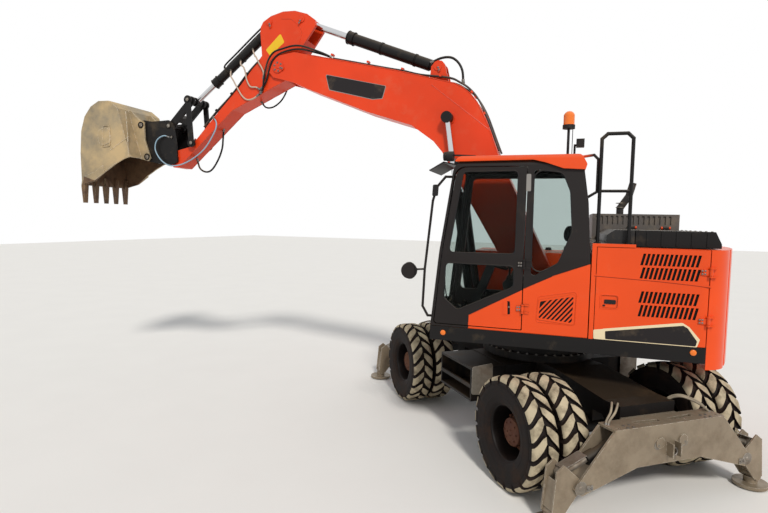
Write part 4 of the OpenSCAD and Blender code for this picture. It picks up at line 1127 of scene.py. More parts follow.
MIRROR_R, MIRROR_TURN = 84, (0.94, -0.34)
mirror_edge = [house(1262 + MIRROR_R * MIRROR_TURN[0] * math.cos(a),
                     1302 + MIRROR_R * MIRROR_TURN[1] * math.cos(a),
                     1970 + MIRROR_R * math.sin(a)) for a in turns(40)]
trim("mirror_edge", [(ring_of(mirror_edge, 0.006), 0)], ["moulding"], "house")
RAIL_MIRROR = [(984, 2748), (1042, 2744), (1036, 2862), (978, 2864)]
RAIL_ARM = [(1000, 2790), (1026, 2790), (1026, 2818), (1000, 2818)]
trim("rail_mirror", [(slab(softened(RAIL_MIRROR, 14), 1272, 1302), 0),
                     (slab(softened(RAIL_ARM, 5), 1258, 1274), 0)], ["moulding"], "house", 0.006)
print("cab trim made")

# %% [markdown]
# The lamps on the solids are plain drums. A real work lamp is a dished reflector with a
# bulb, behind glass held by a rubber rim. Each drum gets the reflector, the bulb and the
# rim, all turned from short profiles; a pane over them would only hide them.

# %% Work lamps
LAMP_Z = 3169


def lamp_front(x, y, z, radius):
    """Reflector, bulb and rim of a lamp that looks along +X."""
    turn = Matrix.Translation(house(x, y, z)) @ Matrix.Rotation(math.radians(90), 4, "Y")
    reflector = [(0.0, 0.002), (radius * 0.3, 0.004), (radius * 0.75, 0.014),
                 (radius * 0.92, 0.024)]
    bulb = [(0.0, 0.016), (0.008, 0.014), (0.011, 0.006), (0.011, 0.002)]
    rim_line = [(radius * 0.9, 0.020), (radius * 0.96, 0.028), (radius * 1.04, 0.028),
                (radius * 1.06, 0.018), (radius * 1.04, 0.002)]
    return [(moved(turn, turned(profile, 32)), which)
            for which, profile in enumerate((reflector, bulb, rim_line))]


front_lamps = lamp_front(946, 1095, LAMP_Z, 0.044) + lamp_front(940, 520, LAMP_Z, 0.044)
trim("work_lamp_fronts", front_lamps, ["chrome", "lens_white", "moulding"], "house")
print("lamp parts", len(front_lamps))

# %% [markdown]
# ## Seat
# The driver's seat is foam under cloth: crowned in the middle, drawn in at its sewn
# channels and piped along its edge. The plain solid only holds its place. A cloth
# simulation would be slow and never twice the same. Here each cushion is a fine sheet,
# twice, whose points swell with the distance from the edges; the channels are pressed
# in afterwards, so they stay crisp.

# %% One cushion's shape
CROWN, PINCH = 0.018, 0.94


def stuffed(size, channels):
    """A crowned block; channels are (place, width, depth) of grooves across its length."""
    block = bmesh.new()
    bmesh.ops.create_grid(block, x_segments=28, y_segments=26, size=0.5)
    sheet = [v.co.copy() for v in block.verts]
    sheet_faces = [[v.index for v in f.verts] for f in block.faces]
    block.free()
    points, faces = [], []
    for level in (1, -1):
        for c in sheet:
            u, v = c.x * 2, c.y * 2
            edge = max(0.0, (1 - abs(u) ** 3.2) * (1 - abs(v) ** 3.2)) ** 0.33
            z = level * (size[2] / 2 * edge + CROWN * max(0, (1 - u * u) * (1 - v * v)))
            if level > 0:
                for along, width, depth in channels:
                    z -= depth * math.exp(-((u - along) / width) ** 2) * edge
                z -= 0.006 * math.exp(-((abs(v) - 0.74) / 0.035) ** 2) * edge
            pull = PINCH + (1 - PINCH) * min(1, abs(u * v) + 0.35)
            points.append(Vector((c.x * size[0] * (pull if abs(v) > 0.9 else 1),
                                  c.y * size[1] * (pull if abs(u) > 0.9 else 1), z)))
    for f in sheet_faces:
        faces += [tuple(f), tuple(v + len(sheet) for v in reversed(f))]
    return points, faces


print("points of a cushion", len(stuffed((1, 1, 1), [])[0]))

# %% [markdown]
# Each cushion stands in its own matrix: the seat almost level, the back and the head
# rest leaning. The piping is a thin cord sewn into the seam, and follows the cushion's
# outline, a square with full corners.

# %% Seat, back and head rest
def lean(x, y, z, degrees):
    return Matrix.Translation(house(x, y, z)) @ Matrix.Rotation(math.radians(-degrees), 4, "Y")


def cushion(name, size, place, channels):
    points, faces = moved(place, stuffed(size, channels))
    pad = piece(name, points, faces, ["seat_cloth"], "house", smooth=True)
    modify(pad, "SUBSURF", levels=1)
    seam_line = []
    for a in turns(72):
        u, v = math.cos(a), math.sin(a)
        reach = 0.985 / 2 / max(abs(u), abs(v)) ** 0.86
        seam_line.append(place @ Vector((u * reach * size[0], v * reach * size[1], 0)))
    trim(name + "_piping", [(ring_of(seam_line, 0.0045, 8), 0)], ["moulding"], "house")
    return pad


pads = [cushion("seat_cushion", (0.50, 0.47, 0.13), lean(62, 740, 1712, 3),
                [(-0.4, 0.05, 0.007), (0.1, 0.05, 0.007)]),
        cushion("seat_back", (0.62, 0.45, 0.11), lean(-268, 740, 1960, 99),
                [(-0.45, 0.045, 0.007), (0.0, 0.045, 0.007), (0.45, 0.045, 0.007)]),
        cushion("seat_headrest", (0.17, 0.24, 0.075), lean(-308, 740, 2385, 96), [])]
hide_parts("cab_seat")
print("cushions", len(pads))

# %% [markdown]
# Below the cushion is a moulded pan on rubber bellows, which hide the seat's springs.
# The bellows are a stack of thin blocks, every second one smaller. Behind the back
# cushion runs its shell, with two steel rods up to the head rest.

# %% Seat pan, shell and bellows
PAN = [(-180, 1620), (250, 1620), (262, 1640), (255, 1656), (-180, 1652)]
SHELL = [(-212, 1650), (-186, 1650), (-262, 2250), (-322, 2245), (-330, 2200)]
frame_parts = [(slab(softened(PAN, 8), 520, 960), 0), (slab(softened(SHELL, 14), 560, 920), 0)]
for y in (690, 790):
    frame_parts.append((tube([house(-300, y, 2230), house(-312, y, 2330)], 0.008), 1))
for k in range(6):
    inset = 12 if k % 2 else 0
    frame_parts.append((brick((-120 + inset, 565 + inset, 1440 + 30 * k),
                              (230 - inset, 915 - inset, 1470 + 30 * k)), 2))
print("seat frame parts", len(frame_parts))

# %% [markdown]
# An arm console stands on either side of the seat, padded on top and with a control
# lever in a rubber gaiter. The gaiter's folds and the lever's grip are one turned
# profile. Console and seat frame move together, so all of it is one piece.

# %% Arm consoles and levers
CONSOLE = [(-200, 1560), (280, 1560), (330, 1880), (262, 1905), (-160, 1830), (-215, 1700)]
ARM_PAD = [(-190, 1840), (40, 1880), (36, 1905), (-190, 1866)]
GAITER = [(0.040, 0.0), (0.042, 0.012), (0.032, 0.020), (0.036, 0.032), (0.026, 0.040),
          (0.029, 0.052), (0.018, 0.060), (0.012, 0.066), (0.010, 0.130), (0.018, 0.138),
          (0.024, 0.160), (0.025, 0.200), (0.021, 0.222), (0.010, 0.232), (0.0, 0.233)]
for y in (402, 990):
    frame_parts += [
        (slab(softened(CONSOLE, 30), y, y + 98), 0),
        (slab(softened(ARM_PAD, 12), y + 6, y + 92), 2),
        (moved(Matrix.Translation(house(262, y + 49, 1885)), turned(GAITER, 24)), 2),
        (brick((150, y + 20, 1884), (200, y + 78, 1902)), 1)]
trim("seat_frame_and_consoles", frame_parts, ["moulding", "steel", "hose_rubber"], "house",
     0.003)
print("seat made")

# %% [markdown]
# ## Engine side
# The swept sign on the engine door is two thin plates, one inside the other: a cream
# border and a dark field, both left blank. A third, as thin as a line, draws the
# border's long sloping edge over them. Real film is a tenth of a millimetre thick; a
# millimetre keeps the plates from flickering into the door.

# %% Blank sign of the engine door
BORDER = [(-556, 1486), (-560, 1399), (-1432, 1399), (-1452, 1470), (-1363, 1577),
          (-1308, 1611), (-643, 1501)]
FIELD = [(-660, 1481), (-664, 1406), (-1420, 1406), (-1430, 1452), (-1350, 1566),
         (-1314, 1587)]
UPPER_LINE = [(-640, 1503), (-640, 1497), (-1306, 1604), (-1300, 1612)]
sign = [(slab(softened(BORDER, 10), SIDE_FACE - 0.5, SIDE_FACE + 1.2), 0),
        (slab(softened(FIELD, 8), SIDE_FACE + 1, SIDE_FACE + 2.2), 1),
        (slab(UPPER_LINE, SIDE_FACE + 1, SIDE_FACE + 1.6), 0)]
trim("door_sign_blank", sign, ["cream_film", "film_black"], "engine_door", smooth=False)
print("sign plates", len(sign))

# %% [markdown]
# The latch is a paddle in a recess of the door, with a small lock under it. The door
# hangs on two lugs, each held by four screws, and the cab's door on two like them.

# %% Latch and hinge screws
LATCH_DISH = [(-610, 1702), (-610, 1822), (-755, 1822), (-755, 1702)]
PADDLE = [(-640, 1742), (-640, 1782), (-742, 1782), (-742, 1742)]
LATCH_LOCK = [(-628, 1716), (-628, 1732), (-650, 1732), (-650, 1716)]
latch = [(slab(softened(LATCH_DISH, 20), SIDE_FACE - 10, SIDE_FACE - 8.5), 1),
         (slab(softened(PADDLE, 9), SIDE_FACE - 9, SIDE_FACE - 1), 0),
         (slab(softened(LATCH_LOCK, 5), SIDE_FACE - 9, SIDE_FACE - 4), 0)]
trim("door_latch", latch, ["moulding", "orange_paint"], "engine_door", 0.0015)
for name, xs, door in (("door_hinge_screws", (-1460, -1438), "engine_door"),
                       ("cab_hinge_screws", (134, 156), "cab_door")):
    screws = [house(x, SIDE_FACE + 12, z + dz) for z in (1640, 2080) for x in xs
              for dz in (-14, 14)]
    trim(name, [(bolts(screws, (0, 1, 0), 0.006, 0.004), 0)], ["steel"], door)
print("screws of a door", len(screws))

# %% [markdown]
# The deck and the engine's cover are screwed down in rows, which a loop over x and y
# lays out as a fitter would. The cover is lifted by a bent bar at its rear edge.

# %% Deck screws and the cover's grip
deck_screws = [house(x, y, DECK + 11) for x in (-575, -540) for y in range(-1180, 1181, 236)]
hood_screws = [house(x, y, 2441) for x in (-930, -1250, -1540) for y in range(-260, 1061, 220)]
trim("deck_screws", [(bolts(deck_screws, (0, 0, 1), 0.008, 0.005), 0)], ["steel"], "house")
trim("hood_screws", [(bolts(hood_screws, (0, 0, 1), 0.008, 0.005), 0)], ["steel"],
     "engine_hood")
GRIP = [(-1585, 560, 2372), (-1610, 565, 2380), (-1618, 600, 2384), (-1618, 760, 2384),
        (-1610, 795, 2380), (-1585, 800, 2372)]
trim("hood_grip", [(tube(smooth_line(places(GRIP), 5), 0.009, 10), 0)], ["black_paint"],
     "engine_hood")
print("deck and hood screws", len(deck_screws) + len(hood_screws))

# %% [markdown]
# The tanks stand on the right, out of the camera's sight, and follow the type: two
# screw caps, the smaller one for the oil, and screws along the lid's edges.

# %% Tank caps
TANK_TOP = 2120
CAP = [(0.0, 0.052), (0.040, 0.050), (0.050, 0.040), (0.052, 0.012), (0.060, 0.008),
       (0.064, 0.0)]
lid_screws = [house(x, y, TANK_TOP + 0.5) for x in range(-400, 801, 150) for y in (-1200, -410)]
fuel_cap = moved(Matrix.Translation(house(420, -820, TANK_TOP)), turned(CAP, 32))
oil_cap = moved(Matrix.Translation(house(-60, -1080, TANK_TOP)) @ Matrix.Scale(0.8, 4),
                turned(CAP, 32))
trim("tank_caps", [(fuel_cap, 0), (oil_cap, 0), (bolts(lid_screws, (0, 0, 1), 0.008, 0.005), 1)],
     ["moulding", "steel"], "house")
print("lid screws", len(lid_screws))

# %% [markdown]
# Two amber reflectors mark the machine's side on the road, one at each end of the
# skirt. Each is a small turned dome, laid over from Z to the side.

# %% Side reflectors
DOME = [(0.0, 0.013), (0.018, 0.012), (0.026, 0.008), (0.028, 0.0)]
amber = [(moved(Matrix.Translation(house(x, SIDE_FACE - 1.5, z))
                @ Matrix.Rotation(math.radians(-90), 4, "X"), turned(DOME, 28)), 0)
         for x, z in ((900, 1332), (-1405, 1347))]
trim("side_reflectors", amber, ["beacon_orange"], "house")
print("reflectors", len(amber))

# %% [markdown]
# Sheet metal gets its stiffness from folds. The engine door has a fold just below its upper
# slots: a raised orange strip gives its light edge, and a thin dark strip under it is the
# fold's painted shadow. Round the louvre and the latch the sheet is pressed out to a
# raised frame: a thin ring on the surface does it.

# %% Crease and pressed frames
CREASE = [(-540, 2000), (-774, 1990), (-1097, 1976), (-1400, 1954), (-1516, 1942)]


def strip_along(line, above, below, inner, outer):
    return slab([(x, z + above) for x, z in line] + [(x, z + below) for x, z in reversed(line)],
                inner, outer)


# The thin dark strip is the fold's painted shadow; the orange strip above is its edge.
trim("engine_door_crease", [(strip_along(CREASE, 3, -3, SIDE_FACE - 0.2, SIDE_FACE + 0.6), 1),
                            (strip_along(CREASE, 16, 4, SIDE_FACE - 0.2, SIDE_FACE + 1.6), 0)],
     ["orange_paint", "painted_crease_shadow"], "engine_door", smooth=False)
LOUVRE = [(-28, 1520), (-40, 1772), (-395, 1842), (-388, 1512)]
RECESS = [(-604, 1696), (-604, 1828), (-762, 1828), (-762, 1696)]
for name, outline, corner, radius, body in (
        ("louvre_frame", LOUVRE, 26, 0.005, "house"),
        ("latch_frame", RECESS, 18, 0.0045, "engine_door")):
    loop = places(softened(outline, corner), SIDE_FACE + 0.5)
    trim(name, [(ring_of(loop, radius), 0)], ["orange_paint"], body)
print("crease of", len(CREASE), "places")

# %% [markdown]
# Where people step, the sheet is chequer plate: small raised bars that lie one way and
# then the other. Each bar is a six-point ridge, and the loop turns every second one.

# %% Anti-slip plate
BAR_GAP = 36
tread_bars = []
for x in range(-300, 761, BAR_GAP):
    for y in range(-760, -430, BAR_GAP):
        way = 1 if (x // BAR_GAP + y // BAR_GAP) % 2 else -1
        c, ridge = house(x, y, TANK_TOP), Vector((0, 0, 0.0022))
        a, b = Vector((0.011, 0.011 * way, 0)), Vector((0.0025, -0.0025 * way, 0))
        corners = [c - a - b, c + a - b, c + a + b, c - a + b]
        tread_bars.append(((corners + [c - a * 0.6 + ridge, c + a * 0.6 + ridge],
                            [(0, 1, 5, 4), (1, 2, 5), (2, 3, 4, 5), (3, 0, 4), (3, 2, 1, 0)]), 0))
trim("anti_slip_plate", tread_bars, ["steel"], "house", smooth=False)
print("tread bars", len(tread_bars))

# %% [markdown]
# Band clamps hold the exhaust, and a close row of large bolts holds the slewing ring.
# A row on one radius is a loop over angles, which is also how it is really laid out.

# %% Exhaust clamps and slewing ring bolts
clamps = [(ring_of([house(-905 + 47 * math.cos(a), -600 + 47 * math.sin(a), z)
                    for a in turns(32)], 0.005), 0) for z in (2706, 2760)]
trim("exhaust_clamps", clamps, ["steel"], "house")
ring_bolts = [chassis(625 * math.cos(a), 625 * math.sin(a), 1040.5) for a in turns(40)]
trim("slewing_ring_bolts", [(bolts(ring_bolts, (0, 0, 1), 0.012, 0.012), 0)], ["steel"],
     "chassis")
print("ring bolts", len(ring_bolts))

# %% [markdown]
# ## Boom and arm
# The sign on the boom and the label on the arm's head are film on the paint, and stay
# bare. The sign's pale border is a second plate just under the dark one, so that it
# shows as a thin line all round.

# %% Bare sign and label
SIGN = [(2775, 4371), (1951, 4177), (1994, 4030), (2122, 4026), (2723, 4180)]
SIGN_BORDER = [(2784, 4379), (1941, 4180), (1987, 4022), (2124, 4018), (2730, 4173)]
LABEL = [(3695, 4773), (3471, 4971), (3410, 4852), (3628, 4688)]
BOOM_SIDE, ARM_SIDE = 175, 145
for side, name in ((LEFT, "left"), (RIGHT, "right")):
    below, between, above = [(BOOM_SIDE + out) * side for out in (0.2, 1.6, 2.6)]
    trim("boom_sign_blank_" + name, [(slab(softened(SIGN_BORDER, 16), below, between), 0),
                                     (slab(softened(SIGN, 14), between, above), 1)],
         ["strip_grey", "film_black"], "boom", smooth=False)
trim("arm_label_blank", [(slab(softened(LABEL, 18), ARM_SIDE + 0.2, ARM_SIDE + 1.6), 0)],
     ["label_yellow"], "arm", smooth=False)
print("bare plates", 3)

# %% [markdown]
# Each large pin is kept from turning by a flat bar with two bolts, laid at any angle
# round the pin that leaves room. The big pin between boom and arm also has a circle of
# bolts in its cap. All of them are drawn flat in the boom's plane and set on its side.

# %% Pin keepers
def leaned(corners, x, z, degrees):
    """Corners drawn about a middle, turned by so many degrees and laid at a place."""
    c, s = math.cos(math.radians(degrees)), math.sin(math.radians(degrees))
    return [(x + a * c - b * s, z + a * s + b * c) for a, b in corners]


def cap_bolts(pin, radius, y, count):
    heads = [house(pin[0] + radius * math.cos(a), y, pin[1] + radius * math.sin(a))
             for a in turns(count, 0.4)]
    return [(bolts(heads, (0, math.copysign(1, y), 0), 0.010, 0.009), 1)]


def keeper(pin, y, degrees, length=95, wide=36):
    """The flat bar that stops a pin from turning, with its two bolts."""
    out = math.copysign(1, y)
    corners = [(-18, -wide / 2), (length, -wide / 2), (length, wide / 2), (-18, wide / 2)]
    bar = slab(softened(leaned(corners, *pin, degrees), 8), y, y + 8 * out)
    heads = places(leaned([(length - 22, 0), (length - 52, 0)], *pin, degrees), y + 8 * out)
    return [(bar, 0), (bolts(heads, (0, out, 0), 0.009, 0.008), 1)]


boom_keepers, arm_keepers = [], []
for side in (LEFT, RIGHT):
    boom_keepers += keeper(ARM_PIN, 189 * side, 200) + cap_bolts(ARM_PIN, 56, 189 * side, 6)
    boom_keepers += keeper(ARM_BASE, 108 * side, 250, 70, 30)
    arm_keepers += keeper(BUCKET_BASE, 157 * side, 250, 82, 30)
    arm_keepers += keeper(ARM_EYE, 157 * side, 300, 82, 30)
    arm_keepers += keeper(TIP, 145.5 * side, 150, 80, 30) + keeper(IDLER, 145.5 * side, 120, 76, 28)
trim("boom_pin_keepers", boom_keepers, ["boom_paint", "steel"], "boom", 0.0015)
trim("arm_pin_keepers", arm_keepers, ["boom_paint", "steel"], "arm", 0.0015)
print("keeper parts", len(boom_keepers) + len(arm_keepers))

# %% [markdown]
# Weld seams run where the box's plates meet. A thin bead along each edge, in the same
# paint, is what makes a fabricated box read as welded. Its thickness swells and shrinks
# a little, since a welder lays it in short runs.

# %% Weld seams
def seam(line, y, radius=0.006):
    points = []
    for (x0, z0), (x1, z1) in zip(line, line[1:]):
        n = max(1, round(math.hypot(x1 - x0, z1 - z0) / 60))
        points += [house(x0 + (x1 - x0) * k / n, y, z0 + (z1 - z0) * k / n) for k in range(n)]
    points.append(house(line[-1][0], y, line[-1][1]))
    return tube(points, [radius * (1 + 0.18 * math.sin(i * 2.1)) for i in range(len(points))], 6)


BOOM_TOP = [(535, 3322), (651, 3642), (790, 3920), (877, 4028), (970, 4105), (1075, 4160),
            (1747, 4345), (3050, 4653)]
BOOM_INNER = [(1363, 4162), (616, 3573)]
HEAD_RIB = [(3460, 5162), (3304, 5146), (3188, 5046), (3148, 4953), (3198, 4789)]
ARM_LOW = [(5149, 3205), (4223, 3989), (3389, 4348)]
for body, runs in (("boom", ((BOOM_TOP, BOOM_SIDE, 0.006), (BOOM_INNER, BOOM_SIDE, 0.004))),
                   ("arm", ((HEAD_RIB, ARM_SIDE, 0.005), (ARM_LOW, ARM_SIDE - 0.5, 0.004)))):
    trim(body + "_weld_seams", [(seam(line, y * side, radius), 0) for line, y, radius in runs
                                for side in (LEFT, RIGHT)], ["boom_paint"], body)
print("seams laid")

# %% [markdown]
# ## Tubes and hoses
# Oil runs to the cylinders in steel tubes clipped along the boom and the arm, and only
# crosses a joint in a hose. A tube is stiff and rides on one body. Its line is a
# smooth one through a few places, and each clip is a small block that lies on the slope
# of the boom's top and has one bolt.

# %% Steel tubes along the boom
TOP_ROUTE = [(2700, 4574), (2427, 4510), (1936, 4394), (1740, 4350), (1500, 4284),
             (1150, 4226), (1010, 4160), (895, 4080), (800, 3970), (706, 3800), (610, 3560),
             (520, 3330)]
CLIPS = ((2700, 4622, 14), (2200, 4494, 14), (1740, 4374, 15), (1250, 4258, 16),
         (858, 4040, 48), (700, 3780, 64))
boom_lines = [(tube(smooth_line(places([(x - 3.6, z + 12) for x, z in TOP_ROUTE], y), 5),
                    0.011, 8), 0) for y in (150, 122, -122, -150)]
for x, z, slope in CLIPS:
    block = leaned([(-15, -14), (15, -14), (15, 9), (-15, 9)], x, z + 10, slope)
    for y in (136, -136):
        boom_lines.append((slab(block, y - 31, y + 31), 1))
        boom_lines.append((bolts([house(x - 4, y, z + 18)], (-0.2, 0, 1), 0.007, 0.005), 2))
trim("boom_steel_tubes", boom_lines, ["tube_paint", "boom_paint", "steel"], "boom")
print("boom tubes and clips", len(boom_lines))

# %% [markdown]
# Two tubes run along each of the upper cylinders and are held by bands round the barrel.
# A band is a ring across the cylinder's axis, at a distance from its base pin, so one
# helper gives the place and the way of that axis.

# %% Tubes and bands on the barrels
def on_axis(base, eye, reach):
    """A place on a cylinder's axis, reach mm from its base pin, and the axis' way."""
    ahead = Vector((eye[0] - base[0], 0, eye[1] - base[1])).normalized()
    return house(base[0], 0, base[1]) + ahead * (reach / 1000), ahead


def bands(base, eye, reaches, radius):
    rings = []
    for reach in reaches:
        middle, ahead = on_axis(base, eye, reach)
        across, sideways = Vector((-ahead.z, 0, ahead.x)), Vector((0, 1, 0))
        loop = [middle + (across * math.cos(a) + sideways * math.sin(a)) * (radius / 1000)
                for a in turns(36)]
        rings.append((ring_of(loop, 0.007), 0))
    return rings


ARM_TUBE = [(2560, 4852), (2520, 4876), (2440, 4848), (1900, 4634), (1500, 4476), (1420, 4478)]
BUCKET_TUBE = [(3770, 5090), (3800, 5130), (3900, 5068), (4250, 4795), (4420, 4662),
               (4440, 4610)]
arm_lines = [(tube(smooth_line(places(ARM_TUBE, y), 5), 0.013, 10), 0) for y in (34, -34)]
arm_lines += bands(ARM_BASE, ARM_EYE, (330, 346, 820, 836), 73)
arm_lines += bands(ARM_BASE, ARM_EYE, (1242, 1326), 82)
trim("arm_barrel_tubes", arm_lines, ["black_paint"], "arm_barrel")
bucket_lines = [(tube(smooth_line(places(BUCKET_TUBE, y), 5), 0.012, 10), 0) for y in (30, -30)]
bucket_lines += bands(BUCKET_BASE, LINK_TOP, (300, 316, 640, 656, 930, 946), 63)
bucket_lines += bands(BUCKET_BASE, LINK_TOP, (1128, 1216), 72)
trim("bucket_barrel_tubes", bucket_lines, ["black_paint"], "bucket_barrel")
print("barrel tubes and bands", len(arm_lines) + len(bucket_lines))

# %% [markdown]
# A cylinder's chrome rod runs on inside its barrel down to the piston, and at full
# stroke most of it comes out. The solid rods are short, so each gets its inner length
# here, a plain round bar just thinner than the bore's mouth. It rides on the rod's
# body, slides with it, and shows only when the arm folds in or the bucket curls.

# %% Inner rods
for name, base, eye, reaches, radius in (
        ("arm_rod", ARM_BASE, ARM_EYE, (520, 1105), 0.0424),
        ("bucket_rod", BUCKET_BASE, LINK_TOP, (320, 1005), 0.0365)):
    bar = tube([on_axis(base, eye, reach)[0] for reach in reaches], radius, 40)
    trim(name + "_inner", [(bar, 0)], ["chrome"], name)
    print(name, "inner length", reaches[1] - reaches[0], "mm")

# %% [markdown]
# Two thin tubes follow the arm's left side on their way to the bucket's end, held under
# small black blocks. They have the boom tubes' dark paint and ride on the arm.

# %% Tubes on the arm's side
SIDE_ROUTE = [(3800, 4640), (3990, 4470), (4230, 4210), (4480, 3990), (4700, 3775)]
side_lines = [(tube(smooth_line(places(SIDE_ROUTE, y), 5), 0.010, 8), 1) for y in (150, 128)]
for x, z in ((3990, 4478), (4230, 4222), (4480, 4004)):
    block = [(x - 14, z - 14), (x + 14, z - 26), (x + 26, z - 2), (x - 2, z + 14)]
    side_lines.append((slab(block, 112, 164), 2))
trim("arm_side_tubes", side_lines, ["tube_pale", "tube_paint", "black_paint"], "arm")
print("side tubes and blocks", len(side_lines))

# %% [markdown]
# A hose is rubber over wire, crimped into a steel sleeve with a nut at each end. It is
# drawn where it hangs, along a smooth line, and its length is printed. Over a joint, the
# fitting at its start rides on one body and the one at its end on the other, while the
# hose itself rides on none and keeps its drawn shape.

# %% Making a hose
def length_of(line):
    return sum((b - a).length for a, b in zip(line, line[1:]))


def fitting(line, a, b, radius):
    """The crimped sleeve and the nut at one end of a hose."""
    away = (line[b] - line[a]).normalized()
    return [(tube([line[a] - away * 0.002, line[a] + away * 0.045], radius * 1.32, 10), 0),
            (tube([line[a] - away * 0.004, line[a] + away * 0.016], radius * 1.6, 6), 0)]


def hose(name, route, radius, rubber, body, second=None):
    """A hose between two fittings. Over a joint its fittings ride on the two bodies, and the hose
    on none.
    """
    line = smooth_line(route, 7)
    ends = [trim(name + "_near_end", fitting(line, 0, 1, radius), ["steel"], body),
            trim(name + "_far_end", fitting(line, -1, -2, radius), ["steel"], second or body)]
    obj = trim(name, [(tube(line, radius, 12), 0)], [rubber], None if second else body)
    if second:
        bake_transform(obj)
    print(name, round(length_of(line), 2), "m")


# %% [markdown]
# The two large hoses stand in an arch over the pin between boom and arm, long enough
# for the arm's whole swing. Three thinner ones drop from the bucket cylinder's barrel
# to the arm's side, and one runs under the pin.

# %% Hoses between boom and arm
OVER = [[(2690, 150, 4586), (2800, 176, 4640), (2950, 200, 4700), (3113, 206, 4758),
         (3256, 206, 4772), (3402, 206, 4748), (3530, 206, 4716), (3613, 206, 4629),
         (3668, 204, 4488), (3694, 200, 4344), (3716, 186, 4250), (3770, 160, 4196)],
        [(2690, 122, 4586), (2800, 150, 4632), (2950, 174, 4676), (3113, 180, 4722),
         (3256, 180, 4734), (3402, 180, 4712), (3500, 180, 4676), (3575, 180, 4604),
         (3619, 178, 4505), (3650, 174, 4410), (3690, 168, 4320), (3760, 158, 4250)]]
for k, route in enumerate(OVER):
    hose("joint_hose_%d" % (k + 1), places(route), 0.0125, "hose_rubber", "boom", "arm")
FEET = ((4321, 42, 4573), (4158, 42, 4696), (3966, 42, 4840))
DROPS = [[(4247, 4452), (4205, 4400), (4138, 4290), (4060, 4177), (3982, 4120), (3885, 4126),
          (3789, 4178)],
         [(4085, 4600), (4032, 4560), (4002, 4480), (3982, 4387), (3924, 4293), (3828, 4276),
          (3770, 4240)],
         [(3860, 4700), (3838, 4690), (3815, 4650), (3782, 4590), (3750, 4545), (3716, 4470),
          (3716, 4380)]]
for k, (foot, drop) in enumerate(zip(FEET, DROPS)):
    (x, z), y = drop[0], 162 + 4 * k
    route = places([foot, ((foot[0] + x) / 2, 105, (foot[2] + z) / 2), (x, 150, z)])
    hose("arm_side_hose_%d" % (k + 1), route + places(drop[1:], y), 0.0105, "tube_pale",
         "bucket_barrel", "arm")
UNDER_JOINT = [(3512, -171, 4396), (3560, -171, 4262), (3632, -148, 4140), (3730, -110, 4060),
               (3826, -82, 4056), (3885, -60, 4130)]
hose("under_joint_hose", places(UNDER_JOINT), 0.011, "hose_rubber", "boom", "arm")

# %% [markdown]
# A loop hangs below the arm, one stands behind the arm cylinder's base, and the blue
# hose of the quick coupler swings out wide, since the bucket turns through the largest
# angle of all.

# %% Loops below the arm, at the barrel and at the coupler
UNDER_ARM = [(4496, 3770), (4506, 3622), (4523, 3482), (4590, 3325), (4696, 3185),
             (4802, 3151), (4909, 3206), (4958, 3345)]
hose("under_arm_hose", places(UNDER_ARM, -30), 0.013, "hose_rubber", "arm")
BEHIND_BASE = [(1398, 4452), (1270, 4500), (1150, 4500), (1060, 4440), (1000, 4330),
               (985, 4180)]
hose("arm_barrel_hose", places(BEHIND_BASE, 70), 0.015, "hose_rubber", "arm_barrel", "boom")
TO_COUPLER = [(4542, 152, 3906), (4470, 178, 3818), (4490, 196, 3684), (4667, 214, 3434),
              (4960, 222, 3262), (5217, 222, 3222), (5390, 222, 3300), (5499, 222, 3453),
              (5475, 220, 3594), (5365, 206, 3661), (5280, 182, 3640)]
hose("coupler_hose", places(TO_COUPLER), 0.009, "hose_blue", "arm", "bucket")

# %% [markdown]
# ## Undercarriage
# The beams carry the legs on large pins, each held by a round cap with bolts, and a
# towing eye sits in their middle. A cap is one turned profile, stood on its place and
# laid over to face outwards. Rear and front beam are the same, so one loop makes both.

# %% Leg pins, hitch pins and beam bolts
BEAMS = (("rear", -1970, -1), ("front", 2540, 1))


def facing_out(place, way):
    """The matrix that stands a shape on a place and turns its top towards a way."""
    turn = Vector((0, 0, 1)).rotation_difference(way).to_matrix().to_4x4()
    return Matrix.Translation(place) @ turn


def cap_at(place, way, radius, tall):
    """A round cap with a raised middle."""
    profile = [(0.0, tall), (radius * 0.30, tall), (radius * 0.36, tall * 0.8),
               (radius * 0.40, tall * 0.45), (radius * 0.86, tall * 0.45), (radius, tall * 0.3),
               (radius, -0.003)]
    return moved(facing_out(place, way), turned(profile, 36))


for end, x, out in BEAMS:
    way, parts = chassis_way(out, 0, 0), []
    keeper_line = [(x, 300), (x + 8 * out, 300), (x + 8 * out, 350), (x, 350)]
    for side in (LEFT, RIGHT):
        y = 868 * side
        keeper_bolts = [chassis(x + 8 * out, y + d, 325) for d in (-24, 12)]
        top_bolts = [chassis(x - inward * out, b * side, 780) for b in (470, 410)
                     for inward in (20, 70)]
        parts += [(cap_at(chassis(x, 945 * side, 335), way, 0.058, 0.012), 0),
                  (slab(keeper_line, y - 40, y + 30, chassis), 0),
                  (bolts(keeper_bolts, way, 0.010, 0.009), 1),
                  (bolts(top_bolts, (0, 0, 1), 0.010, 0.008), 1)]
    for y in (-150, 150):
        parts.append((cap_at(chassis(x, y, 600), way, 0.040, 0.012), 0))
    eye = [chassis(x + 34 * out, 34 * math.cos(a), 540 + 34 * math.sin(a)) for a in turns(24)]
    parts.append((ring_of(eye, 0.009), 1))
    trim("outrigger_pins_" + end, parts, ["worn_steel", "steel"], "chassis")
    print(end, "beam parts", len(parts))

# %% [markdown]
# The tool boxes beside the frame have two doors on each side, each a soft-cornered
# plate with a small latch. A worn guard plate closes the end of each step.

# %% Tool box doors and step guards
def box_plate(x0, x1, z0, z1, corner, y0, y1):
    return slab(softened([(x0, z0), (x1, z0), (x1, z1), (x0, z1)], corner), y0, y1, chassis)


